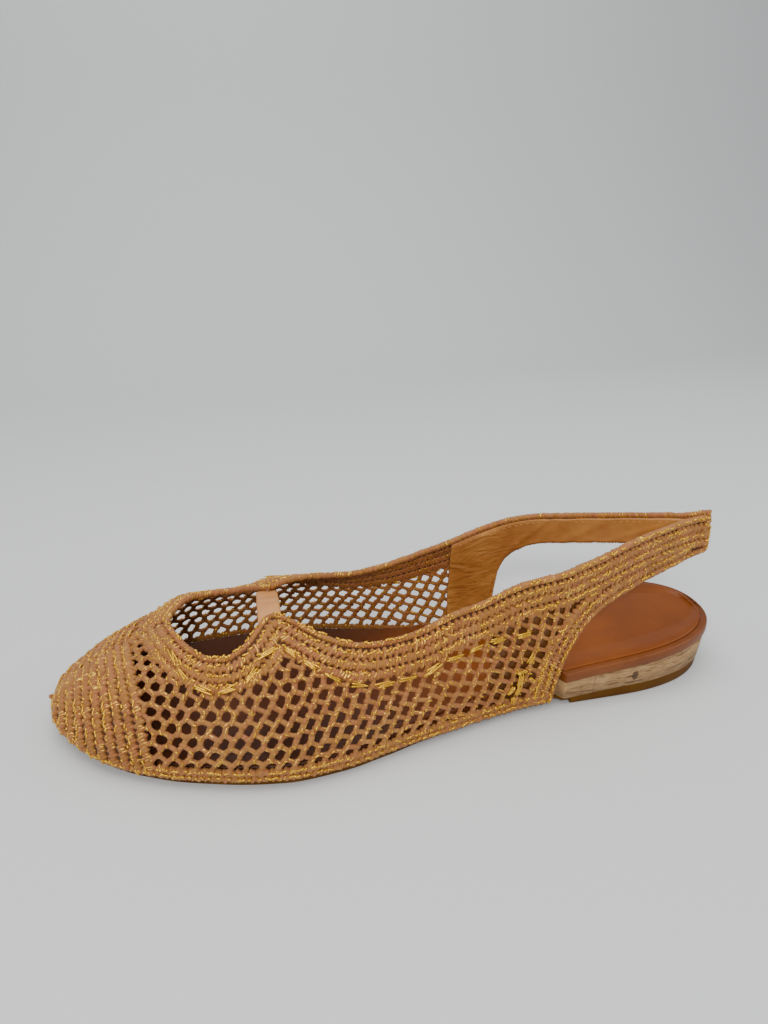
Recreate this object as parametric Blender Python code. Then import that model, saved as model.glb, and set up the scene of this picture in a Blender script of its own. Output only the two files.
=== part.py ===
"""Raffia crochet slingback flat, left shoe, Blender 4.5 (metres, +Z up, toe at -X, lateral side at -Y).

Pieces: rubber outsole with a heel lift, cork wedge, leather covered footbed, insole sock,
crocheted upper with its slingback strap in one, and the leather keeper that joins the two peaks.
Every section table holds shares of the named sizes below.
"""
import math

import bmesh
import bpy
import numpy as np
from mathutils.geometry import delaunay_2d_cdt
from mathutils import Vector

MM = 0.001

# Main sizes
LENGTH = 271.4 * MM          # toe tip to the back of the strap and heel
BALL_WIDTH = 96.0 * MM       # outside of the upper across the ball
HEEL_WIDTH = 62.4 * MM       # footbed rim across the heel seat
VAMP_HEIGHT = 48.0 * MM      # top of the vamp at the keeper
HEEL_HEIGHT = 20.4 * MM      # floor to footbed rim at the back
FIT = 0.3 * MM               # gap between pieces that meet

# Upper
WALL = 2.1 * MM              # crochet wall behind the surface
BAND_STEP = 0.6 * MM         # raised rows of the toe cap, collar and strap
COLLAR_BAND = 10.0 * MM      # width of the raised rows along the collar
REAR_BAND = 7.0 * MM         # width of the raised rows along the quarter edge
SIDE_BULGE = 1.0 * MM
HOLE_PITCH_X = 10.6 * MM
HOLE_PITCH_Z = 6.3 * MM
HOLE_LENGTH = 7.4 * MM
HOLE_HEIGHT = 5.2 * MM
FIRST_HOLE_ROW = 8.2 * MM
HOLE_TO_BAND = 1.1 * MM      # least room from a hole to the raised rows
HOLE_TO_CAP = 1.4 * MM
HOLE_TO_FOOT = 4.0 * MM
HOLE_TO_RIDGE = 2.0 * MM
RING_REACH = 4.5 * MM        # a face this near a hole's centre is tested for lying in it
FILL_FROM_HOLE = 5.2 * MM    # filling points keep this far from a hole's centre
FILL_APART = 2.6 * MM
FEATHER_HEIGHT = 2.8 * MM    # bottom edge of the upper over the floor
TOE_SPRING = 4.4 * MM
SPRING_START = 0.17          # share of the length from the toe

# Sole
OUTSOLE_FOOT_INSET = 2.6 * MM
OUTSOLE_SIDE_INSET = 1.9 * MM
OUTSOLE_TOP_INSET = 1.6 * MM
OUTSOLE_EDGE = 0.7 * MM      # rounded lower edge of the outsole
OUTSOLE_THIN = 2.2 * MM      # below this thickness the rounding shrinks
BED_ROLL = 0.9 * MM          # rolled edge of the footbed
SOCK_EDGE = 0.4 * MM
TOE_DRAW = 1.0 * MM          # the sole draws in this much more at the toe
CORK_START = 0.505           # share of the length from the toe where the wedge begins
BREAST_AT = 0.740            # share of the length from the toe where the heel lift begins
BED_INSET = 3.1 * MM         # footbed edge inside the upper's outer face
SOCK_INSET = 2.4 * MM        # sock edge inside the footbed rim
BED_THICK = 4.4 * MM
BED_DISH = 0.8 * MM
SEAT_AT = {-1: 0.7213, 1: 0.6987}   # stations where the heel seat comes out behind the quarters
SEAT_RUN = 0.007
SOCK_THICK = 1.1 * MM
CORK_INSET = 0.5 * MM
HEEL_TAPER = 2.6 * MM        # how far the heel draws in from the rim to the floor
HEEL_CURVE = 2.3             # superellipse power of the heel seat
HEEL_ROUND = 50.0 * MM       # length of the rounded part of the heel

# Keeper
KEEPER_WIDTH = 8.6 * MM
KEEPER_THICK = 2.0 * MM
KEEPER_AT = 0.3215
KEEPER_TUCK = 4.0 * MM
KEEPER_REACH = 9.8 * MM      # centre line to the edge of each peak
KEEPER_RISE = 1.3 * MM
KEEPER_FLAT = 2.2 * MM       # the rise ends this far inside each peak
KEEPER_DROP = 0.5 * MM       # below the crochet wall at the peaks
KEEPER_CROWN = 0.1 * MM

# Plan and crown of the upper: station from the toe, lateral and medial foot and centre line as
# shares of the ball width, lateral and medial crown as shares of the vamp height
UPPER_SECTIONS = (
    ("station", "lateral", "medial", "centre", "crown_lat", "crown_med"),
    (0.0000, 0.150, 0.150, 0.150, 0.171, 0.171),
    (0.0052, 0.030, 0.243, 0.141, 0.240, 0.240),
    (0.0140, -0.036, 0.288, 0.135, 0.310, 0.310),
    (0.0384, -0.134, 0.340, 0.115, 0.418, 0.418),
    (0.0619, -0.207, 0.374, 0.104, 0.515, 0.515),
    (0.0840, -0.260, 0.400, 0.094, 0.593, 0.593),
    (0.1172, -0.320, 0.429, 0.078, 0.690, 0.690),
    (0.1504, -0.366, 0.452, 0.062, 0.783, 0.783),
    (0.1804, -0.404, 0.467, 0.050, 0.880, 0.880),
    (0.2129, -0.435, 0.479, 0.042, 0.946, 0.922),
    (0.2683, -0.479, 0.488, 0.026, 0.985, 0.925),
    (0.2969, -0.494, 0.487, 0.018, 0.995, 0.945),
    (0.3346, -0.506, 0.481, 0.010, 1.008, 1.005),
    (0.4009, -0.489, 0.452, 0.000, 1.031, 1.010),
    (0.4525, -0.452, 0.412, 0.000, 1.079, 1.045),
    (0.5004, -0.417, 0.371, 0.000, 1.188, 1.160),
    (0.5482, -0.388, 0.335, 0.000, 1.354, 1.330),
    (0.6073, -0.350, 0.315, 0.000, 1.583, 1.570),
    (0.6588, -0.324, 0.320, 0.000, 1.792, 1.790),
    (0.7104, -0.309, 0.331, 0.000, 1.938, 1.938),
    (0.7657, -0.260, 0.306, 0.000, 2.021, 2.021),
    (0.8209, -0.199, 0.244, 0.000, 2.042, 2.042),
    (0.8781, -0.133, 0.166, 0.000, 2.042, 2.042),
    (0.9351, -0.076, 0.072, -0.004, 2.042, 2.042),
    (0.9646, -0.048, 0.026, -0.007, 2.042, 2.042),
    (0.9794, -0.039, 0.021, -0.008, 2.042, 2.042),
    (0.9905, -0.036, 0.020, -0.008, 2.042, 2.042),
    (0.9987, -0.022, 0.006, -0.008, 2.042, 2.042),
    (1.0000, -0.008, -0.008, -0.008, 2.042, 2.042),
)

# Top edge of the upper, front of the cut-out to the strap's back: station, then the share of the
# section's climb from the feather line (0) to the crown (1) on each side
TOP_EDGE = (
    ("station", "lateral", "medial"),
    (0.1804, 1.000, 1.000),
    (0.1836, 0.960, 0.968),
    (0.1955, 0.853, 0.885),
    (0.2085, 0.763, 0.822),
    (0.2246, 0.698, 0.780),
    (0.2407, 0.661, 0.752),
    (0.2557, 0.655, 0.742),
    (0.2728, 0.681, 0.750),
    (0.2879, 0.732, 0.778),
    (0.3019, 0.804, 0.826),
    (0.3150, 0.873, 0.880),
    (0.3260, 0.890, 0.893),
    (0.3371, 0.873, 0.878),
    (0.3602, 0.797, 0.805),
    (0.3843, 0.715, 0.730),
    (0.4144, 0.635, 0.658),
    (0.4405, 0.587, 0.612),
    (0.4667, 0.554, 0.578),
    (0.5149, 0.506, 0.525),
    (0.5571, 0.485, 0.490),
    (0.6063, 0.440, 0.448),
    (0.6575, 0.418, 0.412),
    (0.6987, 0.398, 0.396),
    (0.7419, 0.384, 0.386),
    (0.7911, 0.386, 0.380),
    (0.8433, 0.399, 0.386),
    (0.8975, 0.409, 0.396),
    (0.9528, 0.418, 0.408),
    (1.0000, 0.418, 0.418),
)

# Rear edge of the quarter, running on into the strap's lower edge
REAR_EDGE = (
    ("lat_station", "lateral", "med_station", "medial"),
    (0.7087, 0.000, 0.6866, 0.000),
    (0.7137, 0.042, 0.6891, 0.050),
    (0.7203, 0.089, 0.6937, 0.120),
    (0.7298, 0.131, 0.6997, 0.180),
    (0.7439, 0.166, 0.7117, 0.226),
    (0.7630, 0.198, 0.7328, 0.252),
    (0.7851, 0.221, 0.7630, 0.266),
    (0.8212, 0.238, 0.8031, 0.268),
    (0.8775, 0.254, 0.8554, 0.276),
    (0.9347, 0.268, 0.9196, 0.285),
    (1.0000, 0.290, 1.0000, 0.290),
)

# Rear edge of the toe cap: climb share and station
CAP_EDGE = (("climb", "station"), (0.0, 0.1563), (0.5, 0.1442), (1.0, 0.1221))

# Section fullness: power across and power up, lateral then medial
FULLNESS = {-1: (2.3, 2.1), 1: (2.6, 2.25)}

# Sole heights: station, outsole bottom and top, cork top, as shares of the heel height
SOLE_HEIGHTS = (
    ("station", "bottom", "outsole_top", "cork_top"),
    (0.000, 0.215, 0.338, 0.338),
    (0.050, 0.110, 0.232, 0.232),
    (0.100, 0.036, 0.158, 0.158),
    (0.170, 0.000, 0.122, 0.122),
    (0.420, 0.000, 0.122, 0.122),
    (0.500, 0.010, 0.126, 0.150),
    (0.600, 0.045, 0.138, 0.275),
    (0.700, 0.088, 0.160, 0.455),
    (0.740, 0.098, 0.178, 0.540),
    (0.800, 0.098, 0.235, 0.615),
    (0.880, 0.098, 0.255, 0.695),
    (1.000, 0.098, 0.265, 0.778),
)

COLOURS = {
    "outsole": (0.23, 0.11, 0.03), "wedge": (0.52, 0.38, 0.22), "footbed": (0.45, 0.17, 0.06),
    "sock": (0.40, 0.14, 0.035), "upper": (0.50, 0.27, 0.12), "keeper": (0.55, 0.28, 0.12),
}
ROUGHNESS = {"outsole": 0.55, "wedge": 0.85, "footbed": 0.5, "sock": 0.45, "upper": 0.75, "keeper": 0.5}


# Curves and stations
def column(table, name):
    k = table[0].index(name)
    return np.array([row[k] for row in table[1:]], float)


def spread(t):
    """Station to a parameter that is even along the rounded toe and strap end."""
    return np.arccos(np.clip(1.0 - 2.0 * np.asarray(t, float), -1.0, 1.0)) / math.pi


def station(u):
    return (1.0 - np.cos(math.pi * np.asarray(u, float))) / 2.0


def curve(xs, ys, x):
    """Monotone cubic through a table column."""
    xs, ys, x = np.asarray(xs, float), np.asarray(ys, float), np.asarray(x, float)
    h = np.diff(xs)
    d = np.diff(ys) / h
    m = np.zeros(len(xs))
    for i in range(1, len(xs) - 1):
        if d[i - 1] * d[i] > 0.0:
            w1, w2 = 2.0 * h[i] + h[i - 1], h[i] + 2.0 * h[i - 1]
            m[i] = (w1 + w2) / (w1 / d[i - 1] + w2 / d[i])
    m[0], m[-1] = d[0], d[-1]
    k = np.clip(np.searchsorted(xs, x) - 1, 0, len(h) - 1)
    t = np.clip((x - xs[k]) / h[k], 0.0, 1.0)
    return ((1 + 2 * t) * (1 - t) ** 2 * ys[k] + t * (1 - t) ** 2 * h[k] * m[k]
            + t * t * (3 - 2 * t) * ys[k + 1] + t * t * (t - 1) * h[k] * m[k + 1])


SPREAD_ROWS = spread(column(UPPER_SECTIONS, "station"))
CUT_FRONT = float(spread(TOP_EDGE[1][0]))


def across(name, u):
    size = VAMP_HEIGHT if name.startswith("crown") else BALL_WIDTH
    return size * curve(SPREAD_ROWS, column(UPPER_SECTIONS, name), u)


def feather(u):
    return FEATHER_HEIGHT + TOE_SPRING * np.clip(1.0 - station(u) / SPRING_START, 0.0, 1.0) ** 2


def last_surface(u, a, side):
    """Outer face of the upper: u along, climb a from feather (0) to crown (1)."""
    u, a = np.broadcast_arrays(np.asarray(u, float), np.asarray(a, float))
    power_across, power_up = FULLNESS[side]
    phi = (1.0 - a) * math.pi / 2.0
    foot = across("lateral" if side < 0 else "medial", u)
    crown = across("crown_lat", u)
    if side > 0:
        crown = np.where(u > CUT_FRONT, across("crown_med", u), crown)
    centre = across("centre", u)
    low = feather(u)
    rise = np.maximum(np.cos(phi), 0.0) ** (2.0 / power_up)
    y = centre + (foot - centre) * np.maximum(np.sin(phi), 0.0) ** (2.0 / power_across)
    t = station(u)
    swell = np.clip(t / 0.05, 0, 1) * np.clip((1.0 - t) / 0.2, 0, 1)
    y = y + side * SIDE_BULGE * np.sin(math.pi * np.clip(rise * 2.2, 0, 1)) * swell
    z = low + (crown - low) * rise
    x = (t - 0.5) * LENGTH
    return np.stack([x, y, z], -1)


CLIMB = np.linspace(0.0, 1.0, 61)


def girths(u, side):
    """Arc height of every climb share at one station."""
    pts = last_surface(np.full(CLIMB.shape, u), CLIMB, side)
    return np.concatenate([[0.0], np.cumsum(np.linalg.norm(np.diff(pts, axis=0), axis=1))])


def arc_of(u, a, side):
    return float(np.interp(a, CLIMB, girths(u, side)))


def climb_of(u, arc, side):
    return float(np.interp(arc, girths(u, side), CLIMB))


ALONG = 1.25 * LENGTH        # flat pattern length of the spread parameter


def edge_points(side, count_top=46, count_rear=20):
    """Top edge and rear edge of one side as flat pattern points (along, arc height)."""
    name = "lateral" if side < 0 else "medial"
    rows = spread(column(TOP_EDGE, "station"))
    climbs = column(TOP_EDGE, name)
    us = np.concatenate([rows[:1], np.linspace(rows[1], rows[-1], count_top)])
    top = [(u, float(curve(rows, climbs, u))) for u in us]
    stations = spread(column(REAR_EDGE, "lat_station" if side < 0 else "med_station"))
    rise = column(REAR_EDGE, name)
    run = np.concatenate([[0.0], np.cumsum(np.hypot(np.diff(stations) * 3.0, np.diff(rise) * 1.2))])
    steps = np.linspace(0.0, run[-1], count_rear)
    rear = [(float(np.interp(s, run, stations)), float(np.interp(s, run, rise))) for s in steps]
    return top, rear


def distance(p, line):
    a, b = line[:-1], line[1:]
    d = b - a
    t = np.clip(((p - a) * d).sum(-1) / np.maximum((d * d).sum(-1), 1e-18), 0.0, 1.0)
    return float(np.sqrt((((a + t[:, None] * d) - p) ** 2).sum(-1)).min())


def cap_station(a):
    return float(curve(column(CAP_EDGE, "climb"), column(CAP_EDGE, "station"), a))


def side_pattern(side):
    """Flat pattern of one side: triangles, with each vertex as (u, climb, raised)."""
    top, rear = edge_points(side)
    flat = lambda u, a: (u * ALONG, arc_of(u, a, side))
    top_line = np.array([flat(u, a) for u, a in top])
    rear_line = np.array([flat(u, a) for u, a in rear])
    front_u, rear_u = top[0][0], rear[0][0]

    foot_us = np.linspace(0.0, rear_u, 34)[:-1]
    ridge_us = np.linspace(front_u, 0.0, 15)[1:]
    end_climbs = np.linspace(rear[-1][1], top[-1][1], 5)[1:-1]
    border = [(u, 0.0) for u in foot_us] + rear
    border += [(1.0, a) for a in end_climbs] + top[::-1]
    border += [(u, 1.0) for u in ridge_us] + [(0.0, 2 / 3), (0.0, 1 / 3)]
    points = [flat(u, a) for u, a in border]
    count = len(points)
    edges = [(i, (i + 1) % count) for i in range(count)]

    def raised(p):
        """Signed distance to the raised rows, negative inside them."""
        return min(distance(p, top_line) - COLLAR_BAND, distance(p, rear_line) - REAR_BAND)

    def cap_gap(p):
        u = p[0] / ALONG
        return station(u) * LENGTH - cap_station(climb_of(u, p[1], side)) * LENGTH

    # Two close lines carry the step from the net up to the raised rows
    for offset in (-0.3 * MM, 0.3 * MM):
        row = []
        for u in np.linspace(spread(0.135), rear_u, 44):
            arcs = np.linspace(0.0, arc_of(u, 1.0, side) - 0.1 * MM, 160)
            inside = [h for h in arcs if raised(np.array((u * ALONG, h))) < offset]
            if inside and inside[0] > 1.0 * MM and cap_gap((u * ALONG, inside[0])) > 2.5 * MM:
                row.append((u * ALONG, inside[0]))
        start = len(points)
        points += row
        edges += [(start + i, start + i + 1) for i in range(len(row) - 1)]
    for offset in (-0.3 * MM, 0.3 * MM):
        start = len(points)
        for a in np.linspace(0.0, 1.0, 10)[1:-1]:
            u = float(spread(cap_station(a) + offset / LENGTH))
            points.append(flat(u, a))
        edges += [(i, i + 1) for i in range(start, len(points) - 1)]

    # Staggered holes of the net, six-sided
    holes = []
    row = 0
    net_limit = 1.25 * VAMP_HEIGHT
    while FIRST_HOLE_ROW + row * HOLE_PITCH_Z < net_limit:
        arc = FIRST_HOLE_ROW + row * HOLE_PITCH_Z
        x = 0.165 * LENGTH + (0.5 * HOLE_PITCH_X if row % 2 else 0.0)
        while x < 0.72 * LENGTH:
            ring = []
            for k in range(6):
                angle = math.pi * (k / 3.0 + 1.0 / 6.0)
                px = x + HOLE_LENGTH * 0.5 * math.cos(angle) / math.cos(math.pi / 6.0)
                ring.append((float(spread(px / LENGTH)) * ALONG, arc + HOLE_HEIGHT * 0.5 * math.sin(angle)))
            clear = all(raised(np.array(p)) > HOLE_TO_BAND and cap_gap(p) > HOLE_TO_CAP
                        and HOLE_TO_FOOT < p[1] < arc_of(p[0] / ALONG, 1.0, side) - HOLE_TO_RIDGE
                        for p in ring)
            if clear:
                holes.append(ring)
            x += HOLE_PITCH_X
        row += 1
    for ring in holes:
        start = len(points)
        points += ring
        edges += [(start + i, start + (i + 1) % 6) for i in range(6)]

    # Filling points carry the curvature of the solid areas
    placed = np.array(points)
    outline = placed[:count]

    def inside(p):
        x, y = outline[:, 0], outline[:, 1]
        x2, y2 = np.roll(x, -1), np.roll(y, -1)
        hits = ((y > p[1]) != (y2 > p[1])) & (p[0] < (x2 - x) * (p[1] - y) / (y2 - y + 1e-18) + x)
        return bool(hits.sum() % 2)

    ring_array = [np.array(r) for r in holes]
    centres = np.array([r.mean(0) for r in ring_array])
    for u in np.linspace(0.02, 0.985, 44):
        rows = 9 if station(u) < 0.2 else 15
        for k in range(1, rows):
            p = np.array(flat(u, k / rows))
            if not inside(p):
                continue
            if len(centres) and np.hypot(*(centres - p).T).min() < FILL_FROM_HOLE:
                continue
            if np.hypot(*(placed - p).T).min() < FILL_APART * min(1.0, 0.35 + station(u) * 8):
                continue
            placed = np.vstack([placed, p])
            points.append(tuple(p))

    verts = [Vector((float(p[0]), float(p[1]))) for p in points]
    out = delaunay_2d_cdt(verts, edges, [], 1, 1e-7)
    flat_points = np.array([(v[0], v[1]) for v in out[0]])
    tris = []
    for f in out[2]:
        c = flat_points[list(f)].mean(0)
        if not inside(c):
            continue
        if any(np.hypot(*(ctr - c)) < RING_REACH and in_ring(c, r) for ctr, r in zip(centres, ring_array)):
            continue
        tris.append(tuple(f))
    origin = {}
    for new, olds in enumerate(out[3]):
        for old in olds:
            origin[old] = new
    border_of = {origin[i]: border[i] for i in range(count)}
    verts_out = []
    for i, p in enumerate(flat_points):
        if i in border_of:
            u, a = border_of[i]
        else:
            u = p[0] / ALONG
            a = climb_of(u, p[1], side)
        if u <= 1e-6:
            step = 1.0
        else:
            step = 1.0 if (raised(p) < 0.0 or cap_gap(p) < 0.0) else 0.0
        verts_out.append((float(u), float(a), step))
    return verts_out, tris, len(holes)


def in_ring(p, ring):
    x, y = ring[:, 0], ring[:, 1]
    x2, y2 = np.roll(x, -1), np.roll(y, -1)
    hits = ((y > p[1]) != (y2 > p[1])) & (p[0] < (x2 - x) * (p[1] - y) / (y2 - y + 1e-18) + x)
    return bool(hits.sum() % 2)


def normal_at(u, a, side):
    du, da = 0.004, 0.01
    u0, u1 = max(u - du, 0.0), min(u + du, 1.0)
    a0, a1 = max(a - da, 0.0), min(a + da, 1.0)
    along = last_surface(u1, a, side) - last_surface(u0, a, side)
    up = last_surface(u, a1, side) - last_surface(u, a0, side)
    n = np.cross(up, along) * side
    return n / max(np.linalg.norm(n), 1e-12)


def build_upper():
    keys, outer, normals, steps, faces = {}, [], [], [], []
    total = 0
    for side in (-1, 1):
        verts, tris, holes = side_pattern(side)
        total += holes
        index = []
        for u, a, step in verts:
            p = last_surface(u, a, side)
            key = (side, len(outer))
            if u < 1e-6 or u > 1.0 - 1e-6:
                key = ("end", round(u), round(a, 5))
            elif a > 1.0 - 1e-6:
                key = ("ridge", round(u, 5))
            n = normal_at(u, a, side)
            if key in keys:
                k = keys[key]
                normals[k] = normals[k] + n
                steps[k] = max(steps[k], step)
            else:
                k = keys[key] = len(outer)
                outer.append(p)
                normals.append(n)
                steps.append(step)
            index.append(k)
        for f in tris:
            g = [index[i] for i in f]
            if len(set(g)) == 3:
                faces.append(tuple(g) if side > 0 else tuple(g[::-1]))
    outer = np.array(outer)
    normals = np.array(normals)
    normals /= np.linalg.norm(normals, axis=1)[:, None]
    steps = np.array(steps)[:, None]
    top = outer + normals * steps * BAND_STEP
    under = outer - normals * WALL
    n = len(outer)
    edge_use = {}
    for f in faces:
        for i in range(3):
            edge_use[(f[i], f[(i + 1) % 3])] = edge_use.get((f[i], f[(i + 1) % 3]), 0) + 1
    all_faces = list(faces) + [tuple(n + i for i in f[::-1]) for f in faces]
    for (i, j) in edge_use:
        if (j, i) not in edge_use:
            all_faces.append((j, i, n + i, n + j))
    print("upper holes", total, "faces", len(all_faces))
    return make_object("upper", np.vstack([top, under]), all_faces)


# Sole pieces
def ease(x):
    x = np.clip(x, 0.0, 1.0)
    return x * x * (3.0 - 2.0 * x)


def height(name, t):
    return HEEL_HEIGHT * curve(column(SOLE_HEIGHTS, "station"), column(SOLE_HEIGHTS, name), t)


def plan_ring(stations, front_inset, heel_inset):
    """Lateral and medial plan edges: inside the upper in front, out to the heel seat behind the quarters."""
    us = spread(stations)
    halves = []
    for side in (-1, 1):
        line = last_surface(np.minimum(us, spread(0.80)), 0.0, side)[:, :2]
        line[:, 0] = (stations - 0.5) * LENGTH
        run = np.gradient(line, axis=0)
        run /= np.linalg.norm(run, axis=1)[:, None]
        outward = np.stack([side * -run[:, 1], side * run[:, 0]], -1)
        if stations[0] == 0.0:
            outward[0] = (-1.0, 0.0)
        front = line - outward * front_inset(stations)[:, None]
        x = (stations - 0.5) * LENGTH - heel_inset * ease((stations - 0.78) / 0.22)
        into = np.clip((x - (0.5 * LENGTH - HEEL_ROUND)) / (HEEL_ROUND - heel_inset), 0.0, 1.0)
        half = (HEEL_WIDTH / 2.0 - heel_inset) * (1.0 - into ** HEEL_CURVE) ** (1.0 / HEEL_CURVE)
        seat = np.stack([x, side * half], -1)
        out = ease((stations - SEAT_AT[side]) / SEAT_RUN)[:, None]
        halves.append(front * (1.0 - out) + seat * out)
    return halves


def sole_layer(name, stations, levels, rows=5, dish=0.0):
    """Solid of plan rings; a level is (front inset, heel inset, height function), bottom to top."""
    stations = np.asarray(stations, float)
    verts, faces, rings = [], [], []
    last = len(stations) - 1
    closed_toe, closed_heel = stations[0] == 0.0, stations[-1] == 1.0
    for front_inset, heel_inset, level in levels:
        lateral, medial = plan_ring(stations, front_inset, heel_inset)
        z = level(stations)
        if closed_toe:
            medial[0] = lateral[0]
        if closed_heel:
            medial[last] = lateral[last] = (lateral[last] + medial[last]) / 2.0
        ring = []
        for i in range(last + 1):
            ring.append(len(verts))
            verts.append((lateral[i][0], lateral[i][1], z[i]))
        for i in range(last if not closed_heel else last - 1, 0 if closed_toe else -1, -1):
            ring.append(len(verts))
            verts.append((medial[i][0], medial[i][1], z[i]))
        rings.append(ring)
    n = len(rings[0])
    for low, high in zip(rings[:-1], rings[1:]):
        for i in range(n if closed_toe else n - 1):
            j = (i + 1) % n
            faces.append((low[j], low[i], high[i], high[j]))
    fronts = []
    for ring, sag, flip in ((rings[0], 0.0, True), (rings[-1], dish, False)):
        # rows of points across each station close the face
        grid = []
        for i in range(last + 1):
            a = ring[i]
            if (i == 0 and closed_toe) or (i == last and closed_heel):
                grid.append([a])
                continue
            b = ring[2 * last - i] if closed_heel else ring[2 * last + 1 - i]
            line = [a]
            for k in range(1, rows - 1):
                s = k / (rows - 1)
                p = np.array(verts[a]) * (1 - s) + np.array(verts[b]) * s
                p[2] -= sag * (1.0 - (2 * s - 1) ** 2)
                line.append(len(verts))
                verts.append(tuple(p))
            grid.append(line + [b])
        fronts.append(grid[0])
        for one, two in zip(grid[:-1], grid[1:]):
            if len(one) == 1:
                new = [(one[0], two[k + 1], two[k]) for k in range(len(two) - 1)]
            elif len(two) == 1:
                new = [(one[k], one[k + 1], two[0]) for k in range(len(one) - 1)]
            else:
                new = [(one[k], one[k + 1], two[k + 1], two[k]) for k in range(len(one) - 1)]
            faces += [f[::-1] if not flip else f for f in new]
    if not closed_toe:
        faces.append(tuple(fronts[0]) + tuple(fronts[1][::-1]))
    return make_object(name, verts, faces)


def along(count, start=0.0, end=1.0, extra=()):
    us = np.linspace(float(spread(start)), float(spread(end)), count)
    stations = np.concatenate([station(us), np.array(extra, float)])
    stations = np.unique(np.round(stations, 6))
    stations[0], stations[-1] = start, end
    keep = [0]
    for i in range(1, len(stations)):
        near_extra = any(abs(stations[i] - e) < 1e-6 for e in extra)
        if near_extra or all(abs(stations[i] - e) > 0.003 for e in extra):
            keep.append(i)
    if keep[-1] != len(stations) - 1:
        keep.append(len(stations) - 1)
    return stations[keep]


SEATS = tuple(SEAT_AT[s] + k * SEAT_RUN for s in (1, -1) for k in (0.0, 0.5, 1.0))


def build_sole():
    constant = lambda v: (lambda t: np.full(np.shape(t), v))
    toe_extra = lambda t: TOE_DRAW * np.clip(1.0 - t / 0.15, 0.0, 1.0) ** 2

    def sole_inset(edge):
        return lambda t: edge + (BED_INSET - edge) * ease((t - 0.46) / 0.08) + toe_extra(t)

    def outsole_bottom(t):
        return np.where(t > BREAST_AT, 0.0, height("bottom", t))

    breast = (BREAST_AT - 0.0004, BREAST_AT + 0.0004)
    outsole_top = lambda t: height("outsole_top", t)
    edge = OUTSOLE_EDGE
    stations = along(30, extra=SEATS + breast)
    sole_layer("outsole", stations, (
        (sole_inset(OUTSOLE_FOOT_INSET), HEEL_TAPER + edge, outsole_bottom),
        (sole_inset(OUTSOLE_SIDE_INSET), HEEL_TAPER, lambda t: outsole_bottom(t) + edge * np.minimum(
            1.0, (outsole_top(t) - outsole_bottom(t)) / OUTSOLE_THIN)),
        (sole_inset(OUTSOLE_TOP_INSET), HEEL_TAPER * 0.74, outsole_top),
    ))

    cork_bottom = lambda t: outsole_top(t) + FIT
    cork_top = lambda t: np.maximum(height("cork_top", t), outsole_top(t))
    bed_inset = lambda t: BED_INSET + toe_extra(t)
    sole_layer("wedge", along(20, start=CORK_START, extra=SEATS), (
        (bed_inset, HEEL_TAPER * 0.72, cork_bottom),
        (bed_inset, CORK_INSET, cork_top),
    ))

    bed_bottom = lambda t: cork_top(t) + FIT
    bed_top = lambda t: bed_bottom(t) + BED_THICK * (0.5 + 0.5 * ease(t / 0.14))
    roll = BED_ROLL
    sole_layer("footbed", along(30, extra=SEATS), (
        (lambda t: bed_inset(t) + roll * 0.6, roll * 0.6, bed_bottom),
        (bed_inset, 0.0, lambda t: bed_bottom(t) + roll),
        (bed_inset, 0.0, lambda t: bed_top(t) - roll),
        (lambda t: bed_inset(t) + roll, roll, bed_top),
    ), rows=5, dish=BED_DISH)

    sock_inset = lambda t: BED_INSET + SOCK_INSET * 0.6 + 2.0 * toe_extra(t)
    sock_bottom = lambda t: bed_top(t) + FIT
    sock_top = lambda t: sock_bottom(t) + SOCK_THICK
    sole_layer("sock", along(30, extra=SEATS), (
        (sock_inset, SOCK_INSET, sock_bottom),
        (sock_inset, SOCK_INSET, lambda t: sock_top(t) - SOCK_EDGE),
        (lambda t: sock_inset(t) + SOCK_EDGE, SOCK_INSET + SOCK_EDGE, sock_top),
    ), rows=5, dish=BED_DISH)


def build_keeper():
    """Leather strip that joins the two peaks, its ends tucked under them."""
    u = float(spread(KEEPER_AT))
    section = {}
    for side in (-1, 1):
        pts = last_surface(np.full(CLIMB.shape, u), CLIMB, side)
        order = np.argsort(side * pts[:, 1])
        section[side] = (side * pts[order, 1], pts[order, 2])
    reach = KEEPER_REACH + KEEPER_TUCK
    verts, faces = [], []
    count = 15
    corner = KEEPER_THICK * 0.32
    for i in range(count):
        s = -1.0 + 2.0 * i / (count - 1)
        y = s * reach
        side = -1 if y < 0 else 1
        skin = float(np.interp(abs(y), *section[side]))
        lift = KEEPER_RISE * max(0.0, 1.0 - (y / (KEEPER_REACH - KEEPER_FLAT)) ** 2)
        z = skin - WALL - FIT - KEEPER_THICK * 0.5 - KEEPER_DROP + lift
        half = KEEPER_WIDTH * 0.5 * (1.0 - 0.06 * s)
        x = (KEEPER_AT - 0.5) * LENGTH
        h = KEEPER_THICK * 0.5
        ring = ((-half, -h + corner), (-half, h - corner), (-half + corner, h), (0.0, h + KEEPER_CROWN),
                (half - corner, h), (half, h - corner), (half, -h + corner), (half - corner, -h),
                (-half + corner, -h))
        verts += [(x + a, y, z + b) for a, b in ring]
    m = 9
    for i in range(count - 1):
        for k in range(m):
            a, b = i * m + k, i * m + (k + 1) % m
            faces.append((a, b, b + m, a + m))
    faces.append(tuple(range(m))[::-1])
    faces.append(tuple((count - 1) * m + k for k in range(m)))
    return make_object("keeper", verts, faces)


def make_object(name, verts, faces):
    mesh = bpy.data.meshes.new(name)
    mesh.from_pydata([tuple(float(c) for c in v) for v in verts], [], [tuple(f) for f in faces])
    mesh.validate()
    obj = bpy.data.objects.new(name, mesh)
    bpy.context.collection.objects.link(obj)
    mat = bpy.data.materials.new(name)
    mat.use_nodes = True
    shader = mat.node_tree.nodes["Principled BSDF"]
    shader.inputs["Base Color"].default_value = (*COLOURS[name], 1.0)
    shader.inputs["Roughness"].default_value = ROUGHNESS[name]
    mesh.materials.append(mat)
    for p in mesh.polygons:
        p.use_smooth = True
    return obj


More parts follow.
